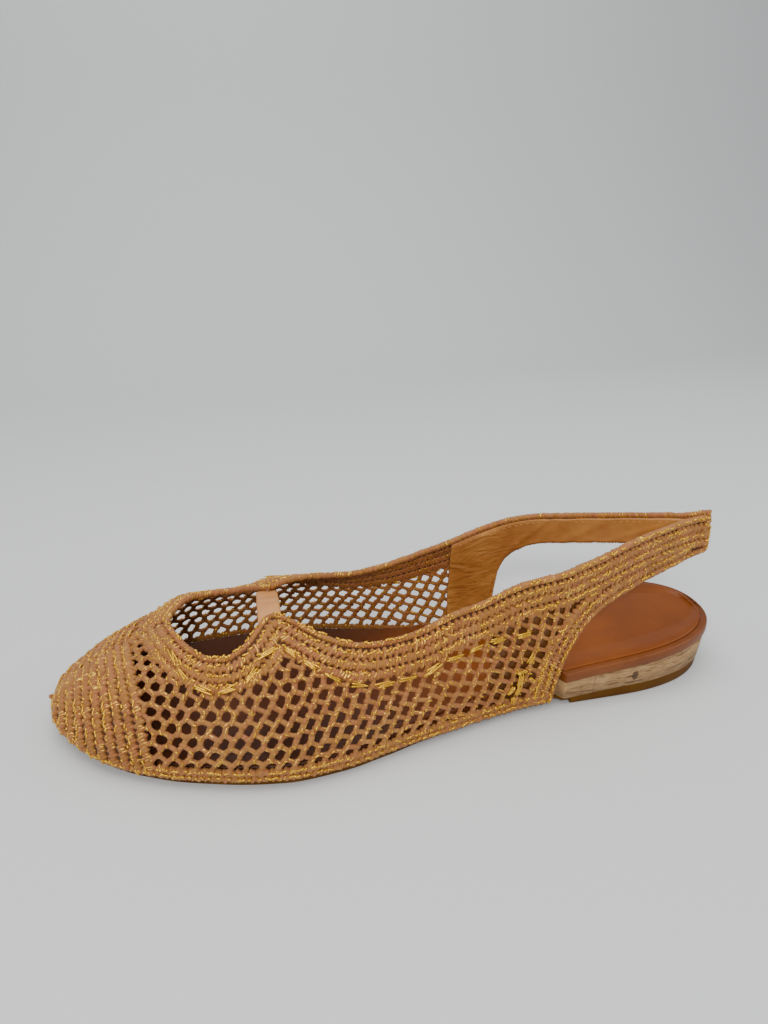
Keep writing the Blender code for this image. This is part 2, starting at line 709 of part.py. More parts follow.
def outward(obj):
    """Turn every face outward on a closed mesh."""
    work = bmesh.new()
    work.from_mesh(obj.data)
    bmesh.ops.recalc_face_normals(work, faces=work.faces)
    work.to_mesh(obj.data)
    work.free()


def centre_on_floor():
    """Bottom centre of the whole shoe to the origin."""
    pts = np.array([v.co for o in bpy.data.objects if o.type == "MESH" for v in o.data.vertices])
    low, high = pts.min(0), pts.max(0)
    shift = np.array([(low[0] + high[0]) / 2.0, (low[1] + high[1]) / 2.0, low[2]])
    for obj in bpy.data.objects:
        if obj.type == "MESH":
            for v in obj.data.vertices:
                v.co = v.co - Vector(shift)


def main():
    for old in list(bpy.data.objects):
        bpy.data.objects.remove(old, do_unlink=True)
    build_upper()
    build_sole()
    build_keeper()
    for obj in bpy.data.objects:
        outward(obj)
    centre_on_floor()


main()
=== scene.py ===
import math

import bmesh
import bpy
import numpy as np
from mathutils import Matrix, Vector


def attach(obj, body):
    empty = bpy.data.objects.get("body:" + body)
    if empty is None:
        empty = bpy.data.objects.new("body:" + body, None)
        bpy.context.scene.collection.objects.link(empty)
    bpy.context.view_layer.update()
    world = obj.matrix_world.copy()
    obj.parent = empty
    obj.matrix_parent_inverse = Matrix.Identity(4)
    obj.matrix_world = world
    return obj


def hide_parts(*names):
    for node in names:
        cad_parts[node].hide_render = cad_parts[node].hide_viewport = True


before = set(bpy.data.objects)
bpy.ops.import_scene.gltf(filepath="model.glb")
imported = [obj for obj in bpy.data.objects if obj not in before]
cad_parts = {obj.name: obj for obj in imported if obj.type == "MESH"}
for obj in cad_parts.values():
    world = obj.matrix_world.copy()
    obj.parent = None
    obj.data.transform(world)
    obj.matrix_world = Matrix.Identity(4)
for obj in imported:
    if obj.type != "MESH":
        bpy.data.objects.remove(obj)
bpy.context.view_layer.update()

bl_info = {
    "name": "Crochet slingback flat",
    "version": (1, 0, 0),
    "blender": (4, 5, 0),
    "location": "3D View > Sidebar > Slingback",
    "description": "Crochet upper, lining, keeper and cork sole of a left slingback flat",
    "category": "Add Mesh",
}

MM = 0.001

# Sizes of the shoe, as in the CAD part
LENGTH = 271.4 * MM
BALL_WIDTH = 96.0 * MM
HEEL_WIDTH = 62.4 * MM
VAMP_HEIGHT = 48.0 * MM
HEEL_HEIGHT = 20.4 * MM
FIT = 0.3 * MM
WALL = 2.1 * MM
SIDE_BULGE = 1.0 * MM
FEATHER_HEIGHT = 2.8 * MM
TOE_SPRING = 4.4 * MM
SPRING_START = 0.17
BREAST_AT = 0.740
BED_INSET = 3.1 * MM
SOCK_INSET = 2.4 * MM
BED_THICK = 4.4 * MM
BED_DISH = 0.8 * MM
SEAT_AT = {-1: 0.7213, 1: 0.6987}
SEAT_RUN = 0.007
SOCK_THICK = 1.1 * MM
CORK_INSET = 0.5 * MM
HEEL_TAPER = 2.6 * MM
HEEL_CURVE = 2.3
HEEL_ROUND = 50.0 * MM
KEEPER_WIDTH = 8.6 * MM
KEEPER_THICK = 2.0 * MM
KEEPER_AT = 0.3215
KEEPER_TUCK = 4.0 * MM
KEEPER_REACH = 9.8 * MM
KEEPER_RISE = 1.3 * MM
LINING_START = 0.613         # station of the lining's front edge

# Plan and crown of the upper as shares of the ball width and the vamp height
UPPER_SECTIONS = (
    ("station", "lateral", "medial", "centre", "crown_lat", "crown_med"),
    (0.0000, 0.150, 0.150, 0.150, 0.171, 0.171),
    (0.0052, 0.030, 0.243, 0.141, 0.240, 0.240),
    (0.0140, -0.036, 0.288, 0.135, 0.310, 0.310),
    (0.0384, -0.134, 0.340, 0.115, 0.418, 0.418),
    (0.0619, -0.207, 0.374, 0.104, 0.515, 0.515),
    (0.0840, -0.260, 0.400, 0.094, 0.593, 0.593),
    (0.1172, -0.320, 0.429, 0.078, 0.690, 0.690),
    (0.1504, -0.366, 0.452, 0.062, 0.783, 0.783),
    (0.1804, -0.404, 0.467, 0.050, 0.880, 0.880),
    (0.2129, -0.435, 0.479, 0.042, 0.946, 0.922),
    (0.2683, -0.479, 0.488, 0.026, 0.985, 0.925),
    (0.2969, -0.494, 0.487, 0.018, 0.995, 0.945),
    (0.3346, -0.506, 0.481, 0.010, 1.008, 1.005),
    (0.4009, -0.489, 0.452, 0.000, 1.031, 1.010),
    (0.4525, -0.452, 0.412, 0.000, 1.079, 1.045),
    (0.5004, -0.417, 0.371, 0.000, 1.188, 1.160),
    (0.5482, -0.388, 0.335, 0.000, 1.354, 1.330),
    (0.6073, -0.350, 0.315, 0.000, 1.583, 1.570),
    (0.6588, -0.324, 0.320, 0.000, 1.792, 1.790),
    (0.7104, -0.309, 0.331, 0.000, 1.938, 1.938),
    (0.7657, -0.260, 0.306, 0.000, 2.021, 2.021),
    (0.8209, -0.199, 0.244, 0.000, 2.042, 2.042),
    (0.8781, -0.133, 0.166, 0.000, 2.042, 2.042),
    (0.9351, -0.076, 0.072, -0.004, 2.042, 2.042),
    (0.9646, -0.048, 0.026, -0.007, 2.042, 2.042),
    (0.9794, -0.039, 0.021, -0.008, 2.042, 2.042),
    (0.9905, -0.036, 0.020, -0.008, 2.042, 2.042),
    (0.9987, -0.022, 0.006, -0.008, 2.042, 2.042),
    (1.0000, -0.008, -0.008, -0.008, 2.042, 2.042),
)

# Top edge of the upper as shares of the climb
TOP_EDGE = (
    ("station", "lateral", "medial"),
    (0.1804, 1.000, 1.000),
    (0.1836, 0.960, 0.968),
    (0.1955, 0.853, 0.885),
    (0.2085, 0.763, 0.822),
    (0.2246, 0.698, 0.780),
    (0.2407, 0.661, 0.752),
    (0.2557, 0.655, 0.742),
    (0.2728, 0.681, 0.750),
    (0.2879, 0.732, 0.778),
    (0.3019, 0.804, 0.826),
    (0.3150, 0.873, 0.880),
    (0.3260, 0.890, 0.893),
    (0.3371, 0.873, 0.878),
    (0.3602, 0.797, 0.805),
    (0.3843, 0.715, 0.730),
    (0.4144, 0.635, 0.658),
    (0.4405, 0.587, 0.612),
    (0.4667, 0.554, 0.578),
    (0.5149, 0.506, 0.525),
    (0.5571, 0.485, 0.490),
    (0.6063, 0.440, 0.448),
    (0.6575, 0.418, 0.412),
    (0.6987, 0.398, 0.396),
    (0.7419, 0.384, 0.386),
    (0.7911, 0.386, 0.380),
    (0.8433, 0.399, 0.386),
    (0.8975, 0.409, 0.396),
    (0.9528, 0.418, 0.408),
    (1.0000, 0.418, 0.418),
)

# Rear edge of the quarter, running on into the strap
REAR_EDGE = (
    ("lat_station", "lateral", "med_station", "medial"),
    (0.7087, 0.000, 0.6866, 0.000),
    (0.7137, 0.042, 0.6891, 0.050),
    (0.7203, 0.089, 0.6937, 0.120),
    (0.7298, 0.131, 0.6997, 0.180),
    (0.7439, 0.166, 0.7117, 0.226),
    (0.7630, 0.198, 0.7328, 0.252),
    (0.7851, 0.221, 0.7630, 0.266),
    (0.8212, 0.238, 0.8031, 0.268),
    (0.8775, 0.254, 0.8554, 0.276),
    (0.9347, 0.268, 0.9196, 0.285),
    (1.0000, 0.290, 1.0000, 0.290),
)

# Crochet in millimetres off the last: dense rows, then the net's holes as they lie in the flat sheet
FIRST_ROW = 4.5 * MM
LAP = 0.42                   # how steeply a wrap laps over the next, radians
THREAD_SHARE = 0.4           # share of the wraps with gold on them, outside the bunches
CORD_ROOM = 1.9 * MM
CAP_SLANT = -0.35            # the cap's wraps lean the other way
FOOT_END = 0.712             # station where the turned-in rows end
EDGE_PITCH = 2.3 * MM
EDGE_REACH = (1.0, 0.96)
NET_FIRST = 6.3 * MM
NET_ORIGIN = 49.1 * MM
NET_DRIFT = 1.55 * MM
NET_DIP_FROM = 143.0 * MM
NET_DIP = 0.24
NET_FROM, NET_TO = 0.11, 0.74

# Sheets inside the crochet: the dark web of painted shade behind the rows, and the lining
WEB_DEPTH = 1.0 * MM
WEB_THICK = 0.35 * MM
LINING_THICK = 0.7 * MM
STRAP_FROM = 45.0 * MM       # the lining is pulled smooth behind this

# Edges of the sole's layers, marks on the cork, and where painted shade darkens the forepart of the sock and
# footbed
OUTSOLE_EDGE = 0.7 * MM
OUTSOLE_THIN = 2.2 * MM
CORK_START = 0.505
CORK_KNOT = (91.5 * MM, 10.0 * MM)
CORK_JOIN = 74.0 * MM
BED_ROLL = 0.9 * MM
RIM_DROP = 1.2 * MM
RIM_RISE = 0.55 * MM
SOCK_BACK = 0.5 * MM
SOCK_SINK = 0.3 * MM
# painted shade on the forepart of the sock and footbed runs between these two places along the shoe
SHADE_FROM = 45.0 * MM
SHADE_TO = -25.0 * MM

CAP_EDGE = (("climb", "station"), (0.0, 0.1563), (0.5, 0.1442), (1.0, 0.1221))

FULLNESS = {-1: (2.3, 2.1), 1: (2.6, 2.25)}

# Gold running stitch: millimetres under the top edge at each station
RUNNING = (
    ("station", "below"),
    (0.187, 11.5), (0.209, 14.0), (0.227, 13.2), (0.248, 12.6), (0.262, 12.4), (0.281, 13.2), (0.294, 15.0),
    (0.331, 17.5), (0.347, 16.8), (0.400, 15.8), (0.480, 15.2), (0.566, 15.8), (0.603, 15.6), (0.640, 17.5),
)

# Loops of gold thread beside the quarter edge, seen at these places in the flat sheet
LOOPS = (
    ("station", "height_mm", "lean", "length_mm", "threads"),
    (0.6706, 23.1, 0.55, 5.0, 3), (0.6578, 18.2, 1.45, 5.0, 2), (0.6735, 13.8, -0.9, 4.0, 2),
    (0.6549, 14.4, 0.25, 6.5, 4), (0.6421, 11.4, 0.7, 4.5, 3), (0.6449, 6.4, -0.15, 4.0, 3),
    (0.6521, 10.5, 0.35, 5.5, 3), (0.6600, 33.2, 1.5, 6.5, 3),
)

# Form of one stitch: sides, steps, bulge, bend, then how uneven it lies and its share of the seed
STITCH_FORMS = {
    "toe_cap_crochet": (8, 6, 3.0, 0.36, 0.07, 0),
    "toe_cap_threads": (6, 4, 3.0, 0.30, 0.12, 7),
    "collar_crochet": (8, 6, 3.0, 0.34, 0.07, 1),
    "edge_wraps": (8, 6, 2.1, 0.20, 0.05, 2),
    "collar_threads": (6, 4, 3.0, 0.30, 0.12, 8),
    "net_strands": (8, 4, 3.4, 0.00, 0.06, 3),
    "net_knots": (8, 5, 2.4, 0.20, 0.12, 4),
    "net_threads": (6, 4, 3.0, 0.35, 0.15, 9),
    "gold_running_stitch": (6, 6, 4.0, 0.50, 0.06, 5),
    "lining_stitches": (6, 4, 3.0, 0.00, 0.04, 6),
}

# Sole heights as shares of the heel height
SOLE_HEIGHTS = (
    ("station", "bottom", "outsole_top", "cork_top"),
    (0.000, 0.215, 0.338, 0.338),
    (0.050, 0.110, 0.232, 0.232),
    (0.100, 0.036, 0.158, 0.158),
    (0.170, 0.000, 0.122, 0.122),
    (0.420, 0.000, 0.122, 0.122),
    (0.500, 0.010, 0.126, 0.150),
    (0.600, 0.045, 0.138, 0.275),
    (0.700, 0.088, 0.160, 0.455),
    (0.740, 0.098, 0.178, 0.540),
    (0.800, 0.098, 0.235, 0.615),
    (0.880, 0.098, 0.255, 0.695),
    (1.000, 0.098, 0.265, 0.778),
)


def column(table, name):
    k = table[0].index(name)
    return np.array([row[k] for row in table[1:]], float)


def spread(t):
    """Station to a parameter that is even along the rounded toe and strap end."""
    return np.arccos(np.clip(1.0 - 2.0 * np.asarray(t, float), -1.0, 1.0)) / math.pi


def station(u):
    return (1.0 - np.cos(math.pi * np.asarray(u, float))) / 2.0


def curve(xs, ys, x):
    """Monotone cubic through a table column."""
    xs, ys, x = np.asarray(xs, float), np.asarray(ys, float), np.asarray(x, float)
    h = np.diff(xs)
    d = np.diff(ys) / h
    m = np.zeros(len(xs))
    for i in range(1, len(xs) - 1):
        if d[i - 1] * d[i] > 0.0:
            w1, w2 = 2.0 * h[i] + h[i - 1], h[i] + 2.0 * h[i - 1]
            m[i] = (w1 + w2) / (w1 / d[i - 1] + w2 / d[i])
    m[0], m[-1] = d[0], d[-1]
    k = np.clip(np.searchsorted(xs, x) - 1, 0, len(h) - 1)
    t = np.clip((x - xs[k]) / h[k], 0.0, 1.0)
    return ((1 + 2 * t) * (1 - t) ** 2 * ys[k] + t * (1 - t) ** 2 * h[k] * m[k]
            + t * t * (3 - 2 * t) * ys[k + 1] + t * t * (t - 1) * h[k] * m[k + 1])


SPREAD_ROWS = spread(column(UPPER_SECTIONS, "station"))
CUT_FRONT = float(spread(TOP_EDGE[1][0]))


def across(name, u):
    size = VAMP_HEIGHT if name.startswith("crown") else BALL_WIDTH
    return size * curve(SPREAD_ROWS, column(UPPER_SECTIONS, name), u)


def feather(u):
    return FEATHER_HEIGHT + TOE_SPRING * np.clip(1.0 - station(u) / SPRING_START, 0.0, 1.0) ** 2


def last_surface(u, a, side):
    """Outer face of the upper: u along, climb a from feather (0) to crown (1)."""
    u, a = np.broadcast_arrays(np.asarray(u, float), np.asarray(a, float))
    power_across, power_up = FULLNESS[side]
    phi = (1.0 - a) * math.pi / 2.0
    foot = across("lateral" if side < 0 else "medial", u)
    crown = across("crown_lat", u)
    if side > 0:
        crown = np.where(u > CUT_FRONT, across("crown_med", u), crown)
    centre = across("centre", u)
    low = feather(u)
    rise = np.maximum(np.cos(phi), 0.0) ** (2.0 / power_up)
    y = centre + (foot - centre) * np.maximum(np.sin(phi), 0.0) ** (2.0 / power_across)
    t = station(u)
    swell = np.clip(t / 0.05, 0, 1) * np.clip((1.0 - t) / 0.2, 0, 1)
    y = y + side * SIDE_BULGE * np.sin(math.pi * np.clip(rise * 2.2, 0, 1)) * swell
    z = low + (crown - low) * rise
    x = (t - 0.5) * LENGTH
    return np.stack([x, y, z], -1)


class Skin:
    """One side of the upper laid flat: x along the shoe and h up the girth from the feather line."""
    STEP = 0.5 * MM

    def __init__(self, side, shift):
        self.side = side
        self.us = np.linspace(0.0, 1.0, 241)
        climbs = np.linspace(0.0, 1.0, 121)
        grid = last_surface(*np.meshgrid(self.us, climbs, indexing="ij"), side) + np.array(shift)
        arc = np.concatenate([np.zeros((241, 1)),
                              np.cumsum(np.linalg.norm(np.diff(grid, axis=1), axis=2), axis=1)], 1)
        self.arc, self.climbs, self.top = arc, climbs, arc[:, -1]
        hs = np.arange(0.0, arc.max() + 3 * MM, self.STEP)
        self.places = np.empty((241, len(hs), 3))
        for i in range(241):
            for c in range(3):
                self.places[i, :, c] = np.interp(hs, arc[i], grid[i, :, c])
        along = np.gradient(grid, axis=0)
        up = np.gradient(grid, axis=1)
        normal = np.cross(up, along) * side
        normal /= np.maximum(np.linalg.norm(normal, axis=2), 1e-12)[..., None]
        self.normals = np.empty_like(self.places)
        for i in range(241):
            for c in range(3):
                self.normals[i, :, c] = np.interp(hs, arc[i], normal[i, :, c])

    def rise(self, x, a):
        """Arc height of a climb share at x."""
        u = float(spread(x / LENGTH)) * 240.0
        i = min(int(u), 239)
        f = u - i
        return float((1 - f) * np.interp(a, self.climbs, self.arc[i])
                     + f * np.interp(a, self.climbs, self.arc[i + 1]))

    def ridge(self, x):
        return np.interp(spread(np.asarray(x) / LENGTH), self.us, self.top)

    def at(self, flat, depth=0.0):
        """Points and unit normals at flat (x, h) places, sunk by depth under the outer face."""
        flat = np.atleast_2d(np.asarray(flat, float))
        u = np.clip(spread(flat[:, 0] / LENGTH) * 240.0, 0.0, 239.9999)
        h = np.clip(flat[:, 1] / self.STEP, 0.0, self.places.shape[1] - 1.001)
        i, k = u.astype(int), h.astype(int)
        f, g = (u - i)[:, None], (h - k)[:, None]
        mix = lambda t: ((1 - f) * (1 - g) * t[i, k] + f * (1 - g) * t[i + 1, k]
                         + (1 - f) * g * t[i, k + 1] + f * g * t[i + 1, k + 1])
        n = mix(self.normals)
        n /= np.maximum(np.linalg.norm(n, axis=1), 1e-9)[:, None]
        return mix(self.places) - n * np.reshape(depth, (-1, 1)), n


def distance(points, line):
    """Distance of flat points from a flat line."""
    p = np.atleast_2d(points)[:, None, :]
    a, b = line[:-1][None], line[1:][None]
    d = b - a
    t = np.clip(((p - a) * d).sum(-1) / np.maximum((d * d).sum(-1), 1e-18), 0.0, 1.0)
    return np.sqrt((((a + t[..., None] * d) - p) ** 2).sum(-1)).min(1)


def top_line(skin):
    """Top edge in the flat sheet, from the front of the cut-out to the strap's back."""
    rows = spread(column(TOP_EDGE, "station"))
    us = np.linspace(rows[0], rows[-1], 420)
    climb = curve(rows, column(TOP_EDGE, "lateral" if skin.side < 0 else "medial"), us)
    return np.array([(station(u) * LENGTH, skin.rise(station(u) * LENGTH, a)) for u, a in zip(us, climb)])


def rear_line(skin):
    """Quarter's rear edge, running on into the strap's lower edge."""
    xs = column(REAR_EDGE, "lat_station" if skin.side < 0 else "med_station")
    rise = column(REAR_EDGE, "lateral" if skin.side < 0 else "medial")
    run = np.concatenate([[0.0], np.cumsum(np.hypot(np.diff(xs) * 3.0, np.diff(rise) * 1.2))])
    steps = np.linspace(0.0, run[-1], 300)
    t, a = curve(run, xs, steps), curve(run, rise, steps)
    return np.array([(x * LENGTH, skin.rise(x * LENGTH, c)) for x, c in zip(t, a)])


def cap_x(a):
    return float(curve(column(CAP_EDGE, "climb"), column(CAP_EDGE, "station"), a)) * LENGTH


def cap_line(skin, share=1.0):
    """Rear edge of the toe cap, or a row nearer the toe, from the feather to the ridge."""
    pts = []
    for a in np.linspace(0.0, 1.0, 60):
        x = cap_x(a) * share
        pts.append((x, skin.rise(x, a)))
    return np.array(pts)


def offset(line, d, turn):
    """Line moved sideways by d in the flat sheet, turn +1 to the left and -1 to the right."""
    run = np.gradient(line, axis=0)
    run /= np.maximum(np.linalg.norm(run, axis=1), 1e-12)[:, None]
    moved = line + turn * d * np.stack([-run[:, 1], run[:, 0]], -1)
    if d <= 0:
        return moved
    return moved[distance(moved, line) > d * 0.985]


def walk(skin, line, pitch, depth, start=0.5):
    """Even steps along a flat line on the skin: places, normals, run directions, flat places."""
    p, _ = skin.at(line, depth)
    run = np.concatenate([[0.0], np.cumsum(np.linalg.norm(np.diff(p, axis=0), axis=1))])
    count = max(2, int(round(run[-1] / pitch)))
    s = (np.arange(count) + start) * run[-1] / count
    on_line = lambda s: np.stack([np.interp(s, run, line[:, 0]), np.interp(s, run, line[:, 1])], -1)
    flat, ahead, behind = on_line(s), on_line(s + 0.4 * MM), on_line(s - 0.4 * MM)
    place, normal = skin.at(flat, depth)
    tangent = skin.at(ahead, depth)[0] - skin.at(behind, depth)[0]
    tangent /= np.maximum(np.linalg.norm(tangent, axis=1), 1e-12)[:, None]
    return place, normal, tangent, flat


# Stitches
class Stitches:
    """Places, turns and sizes of like stitches, gathered before the nodes set them out."""

    def __init__(self):
        self.rows = []

    def add(self, place, normal, long_way, size, tone, gold):
        self.rows.append((np.array(place), np.array(normal), np.array(long_way), size, tone, gold))

    def points(self, name):
        mesh = bpy.data.meshes.new(name)
        mesh.from_pydata([tuple(r[0]) for r in self.rows], [], [])
        turns, sizes, tones, golds = [], [], [], []
        for _, n, x, size, tone, gold in self.rows:
            n = n / max(np.linalg.norm(n), 1e-12)
            x = x - n * (x @ n)
            x /= max(np.linalg.norm(x), 1e-12)
            turns += list(Matrix(np.stack([x, np.cross(n, x), n], 1).tolist()).to_euler())
            sizes += list(size)
            tones.append(tone)
            golds.append(gold)
        for label, kind, field, values in (("turn", "FLOAT_VECTOR", "vector", turns),
                                           ("size", "FLOAT_VECTOR", "vector", sizes),
                                           ("tone", "FLOAT", "value", tones),
                                           ("gold", "FLOAT", "value", golds)):
            mesh.attributes.new(label, kind, "POINT").data.foreach_set(field, values)
        return mesh


def smooth_mesh(name, verts, faces):
    """Smooth closed mesh with its faces turned outwards."""
    mesh = bpy.data.meshes.new(name)
    mesh.from_pydata([tuple(float(c) for c in v) for v in verts], [], faces)
    work = bmesh.new()
    work.from_mesh(mesh)
    bmesh.ops.recalc_face_normals(work, faces=work.faces)
    work.to_mesh(mesh)
    work.free()
    mesh.polygons.foreach_set("use_smooth", [True] * len(mesh.polygons))
    return mesh


def on_shoe(name, mesh):
    """Piece of that mesh, riding on the shoe."""
    piece = bpy.data.objects.new(name, mesh)
    bpy.context.scene.collection.objects.link(piece)
    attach(piece, "root")
    return piece


def stitch_form(name, around, along, bulge, bend):
    """One stitch of unit length, width and height: a closed, slightly bent pod with its own yarn axes."""
    verts, faces = [], []
    for i in range(along + 1):
        s = -1.0 + 2.0 * i / along
        r = max(1.0 - abs(s) ** bulge, 0.0) ** (1.0 / bulge)
        if i in (0, along):
            verts.append((0.5 * s, 0.0, bend * s * s * -0.5))
            continue
        for k in range(around):
            q = 2.0 * math.pi * k / around
            verts.append((0.5 * s, 0.5 * r * math.cos(q), 0.5 * r * math.sin(q) - 0.5 * bend * s * s))
    last = len(verts) - 1
    for k in range(around):
        j = (k + 1) % around
        faces.append((0, 1 + j, 1 + k))
        faces.append((last, last - around + k, last - around + j))
    for a in range(1, 1 + (along - 2) * around, around):
        for k in range(around):
            j = (k + 1) % around
            faces.append((a + k, a + j, a + around + j, a + around + k))
    mesh = smooth_mesh(name, verts, faces)
    yarn = mesh.attributes.new("yarn", "FLOAT_VECTOR", "POINT")
    yarn.data.foreach_set("vector", [c for v in verts for c in v])
    return bpy.data.objects.new(name, mesh)


def add_node(tree, kind, values=None):
    """Adds a node and gives it its settings, the numbers on its sockets and the outputs linked to them."""
    node = tree.nodes.new(kind)
    node.location = (200 * (len(tree.nodes) % 8), -260 * (len(tree.nodes) // 8))
    for key, value in (values or {}).items():
        if isinstance(key, str) and hasattr(node, key):
            setattr(node, key, value)
        elif isinstance(value, bpy.types.NodeSocket):
            tree.links.new(value, node.inputs[key])
        else:
            node.inputs[key].default_value = value
    return node


def maths(tree, operation, *values):
    """Result of a sum of numbers and outputs."""
    return add_node(tree, "ShaderNodeMath", {"operation": operation, **dict(enumerate(values))}).outputs[0]


def scaled(tree, vector, share):
    values = {"operation": "SCALE", 0: vector, "Scale": share}
    return add_node(tree, "ShaderNodeVectorMath", values).outputs[0]


def stitch_tree():
    """Geometry Nodes that set one stitch on every point, a little uneven, as one mesh."""
    tree = bpy.data.node_groups.new("Set out stitches", "GeometryNodeTree")
    for name, kind in (("Points", "Geometry"), ("Stitch", "Object"), ("Fullness", "Float"),
                       ("Uneven", "Float"), ("Seed", "Int"), ("Finish", "Material")):
        tree.interface.new_socket(name, in_out="INPUT", socket_type="NodeSocket" + kind)
    tree.interface.new_socket("Mesh", in_out="OUTPUT", socket_type="NodeSocketGeometry")
    given = add_node(tree, "NodeGroupInput").outputs
    stitch = add_node(tree, "GeometryNodeObjectInfo", {"Object": given["Stitch"]}).outputs["Geometry"]
    turn, size = [add_node(tree, "GeometryNodeInputNamedAttribute",
                           {"data_type": "FLOAT_VECTOR", "Name": name}).outputs["Attribute"]
                  for name in ("turn", "size")]
    low, high = [maths(tree, kind, 1.0, given["Uneven"]) for kind in ("SUBTRACT", "ADD")]
    chance = add_node(tree, "FunctionNodeRandomValue",
                      {"data_type": "FLOAT", 2: low, 3: high, "Seed": given["Seed"]}).outputs[1]
    scale = scaled(tree, size, maths(tree, "MULTIPLY", chance, given["Fullness"]))
    back, forth = [scaled(tree, (way, way, way), given["Uneven"]) for way in (-1.0, 1.0)]
    sway = add_node(tree, "FunctionNodeRandomValue",
                    {"data_type": "FLOAT_VECTOR", 0: back, 1: forth, "Seed": given["Seed"]}).outputs[0]
    euler, tilt = [add_node(tree, "FunctionNodeEulerToRotation", {0: angles}).outputs[0]
                   for angles in (turn, sway)]
    turned = add_node(tree, "FunctionNodeRotateRotation", {"rotation_space": "LOCAL", 0: euler, 1: tilt})
    laid = add_node(tree, "GeometryNodeInstanceOnPoints", {"Points": given["Points"], "Instance": stitch,
                                                           "Rotation": turned.outputs[0], "Scale": scale})
    real = add_node(tree, "GeometryNodeRealizeInstances", {0: laid.outputs[0]})
    done = add_node(tree, "GeometryNodeSetMaterial",
                    {"Geometry": real.outputs[0], "Material": given["Finish"]})
    add_node(tree, "NodeGroupOutput", {0: done.outputs[0]})
    return tree


def set_out(name, stitches, material):
    """Joined mesh of stitches, riding on the shoe."""
    *shape, uneven, seed = STITCH_FORMS[name]
    tree = bpy.data.node_groups.get("Set out stitches") or stitch_tree()
    carrier = bpy.data.objects.new(name + "_points", stitches.points(name + "_points"))
    form = stitch_form(name + "_form", *shape)
    for obj in (carrier, form):
        bpy.context.scene.collection.objects.link(obj)
    modifier = carrier.modifiers.new("Stitches", "NODES")
    modifier.node_group = tree
    sockets = {s.name: s.identifier for s in tree.interface.items_tree if s.in_out == "INPUT"}
    modifier[sockets["Stitch"]] = form
    modifier[sockets["Fullness"]] = 1.0
    modifier[sockets["Uneven"]] = uneven
    modifier[sockets["Seed"]] = bpy.context.scene.slingback.seed + seed
    modifier[sockets["Finish"]] = material
    bpy.context.view_layer.update()
    mesh = bpy.data.meshes.new_from_object(carrier.evaluated_get(bpy.context.evaluated_depsgraph_get()))
    mesh.name = name
    for obj in (carrier, form):
        bpy.data.objects.remove(obj, do_unlink=True)
    return on_shoe(name, mesh)


def closed_sheet(name, outer, inner, material):
    """Solid between two like grids of points, its outer side marked as the flesh side, which a leather finish
    can darken as painted shade.
    """
    rows, cols = outer.shape[:2]
    n = rows * cols
    at = lambda i, k: i * cols + k
    faces = []
    for i in range(rows - 1):
        for k in range(cols - 1):
            f = (at(i, k), at(i + 1, k), at(i + 1, k + 1), at(i, k + 1))
            faces += [f, tuple(n + q for q in f[::-1])]
    rim = [at(i, 0) for i in range(rows)] + [at(rows - 1, k) for k in range(1, cols)]
    rim += [at(i, cols - 1) for i in range(rows - 2, -1, -1)] + [at(0, k) for k in range(cols - 2, 0, -1)]
    faces += [(b, a, n + a, n + b) for a, b in zip(rim, rim[1:] + rim[:1])]
    verts = np.concatenate([outer.reshape(-1, 3), inner.reshape(-1, 3)])
    piece = mesh_piece(name, verts, faces, material)
    flesh = piece.data.attributes.new("flesh", "FLOAT", "POINT")
    flesh.data.foreach_set("value", [1.0] * n + [0.0] * n)
    return piece


def mesh_piece(name, verts, faces, material):
    mesh = smooth_mesh(name, verts, faces)
    mesh.materials.append(material)
    return on_shoe(name, mesh)


# Finishes
def linear(code):
    """sRGB hex to linear red, green, blue and alpha."""
    parts = [int(code[i:i + 2], 16) / 255.0 for i in (0, 2, 4)]
    return tuple(c / 12.92 if c <= 0.04045 else ((c + 0.055) / 1.055) ** 2.4 for c in parts) + (1.0,)


def chosen(colour):
    """Colour property with its alpha."""
    return tuple(colour) + (1.0,)


def finish(name, dress, *choices, **more):
    """Material of that name, made once; dress gives what the sockets of its shader take."""
    mat = bpy.data.materials.get(name)
    if mat is None:
        mat = bpy.data.materials.new(name)
        mat.use_nodes = True
        tree = mat.node_tree
        tree.nodes.clear()
        shader = add_node(tree, "ShaderNodeBsdfPrincipled", dress(tree, *choices, **more))
        add_node(tree, "ShaderNodeOutputMaterial", {"Surface": shader.outputs[0]})
    return mat


def on_object(tree):
    return add_node(tree, "ShaderNodeTexCoord").outputs["Object"]


def attribute(tree, name, output):
    return add_node(tree, "ShaderNodeAttribute", {"attribute_name": name}).outputs[output]


def axis(tree, vector, name):
    return add_node(tree, "ShaderNodeSeparateXYZ", {0: vector}).outputs[name]


def noise(tree, where, scale, detail=2.0, rough=0.5, warp=0.0):
    """Clouds, as many to the unit of where as scale says."""
    return add_node(tree, "ShaderNodeTexNoise", {"Vector": where, "Scale": scale, "Detail": detail,
                                                 "Roughness": rough, "Distortion": warp}).outputs["Fac"]


def span(tree, value, low, high, start=0.0, end=1.0, kind="LINEAR"):
    """Value from start to end, brought to low to high."""
    return add_node(tree, "ShaderNodeMapRange", {
        "interpolation_type": kind, "Value": value, "From Min": start, "From Max": end,
        "To Min": low, "To Max": high}).outputs[0]


def ramp(tree, value, first, last, *between):
    """Colour of a value, from pairs of a place and a colour."""
    node = add_node(tree, "ShaderNodeValToRGB", {"Fac": value})
    stops = node.color_ramp.elements
    for k, (place, colour) in enumerate((first, last)):
        stops[k].position = place
        stops[k].color = colour
    for place, colour in between:
        stops.new(place).color = colour
    return node.outputs["Color"]


def blend(tree, share, under, over, kind="MIX"):
    return add_node(tree, "ShaderNodeMix", {"data_type": "RGBA", "blend_type": kind,
                                            0: share, 6: under, 7: over}).outputs[2]


def bump(tree, height, strength, depth, under=None):
    """Relief of a height, laid on another relief where one is given."""
    values = {"Strength": strength, "Distance": depth, "Height": height}
    if under is not None:
        values["Normal"] = under
    return add_node(tree, "ShaderNodeBump", values).outputs[0]


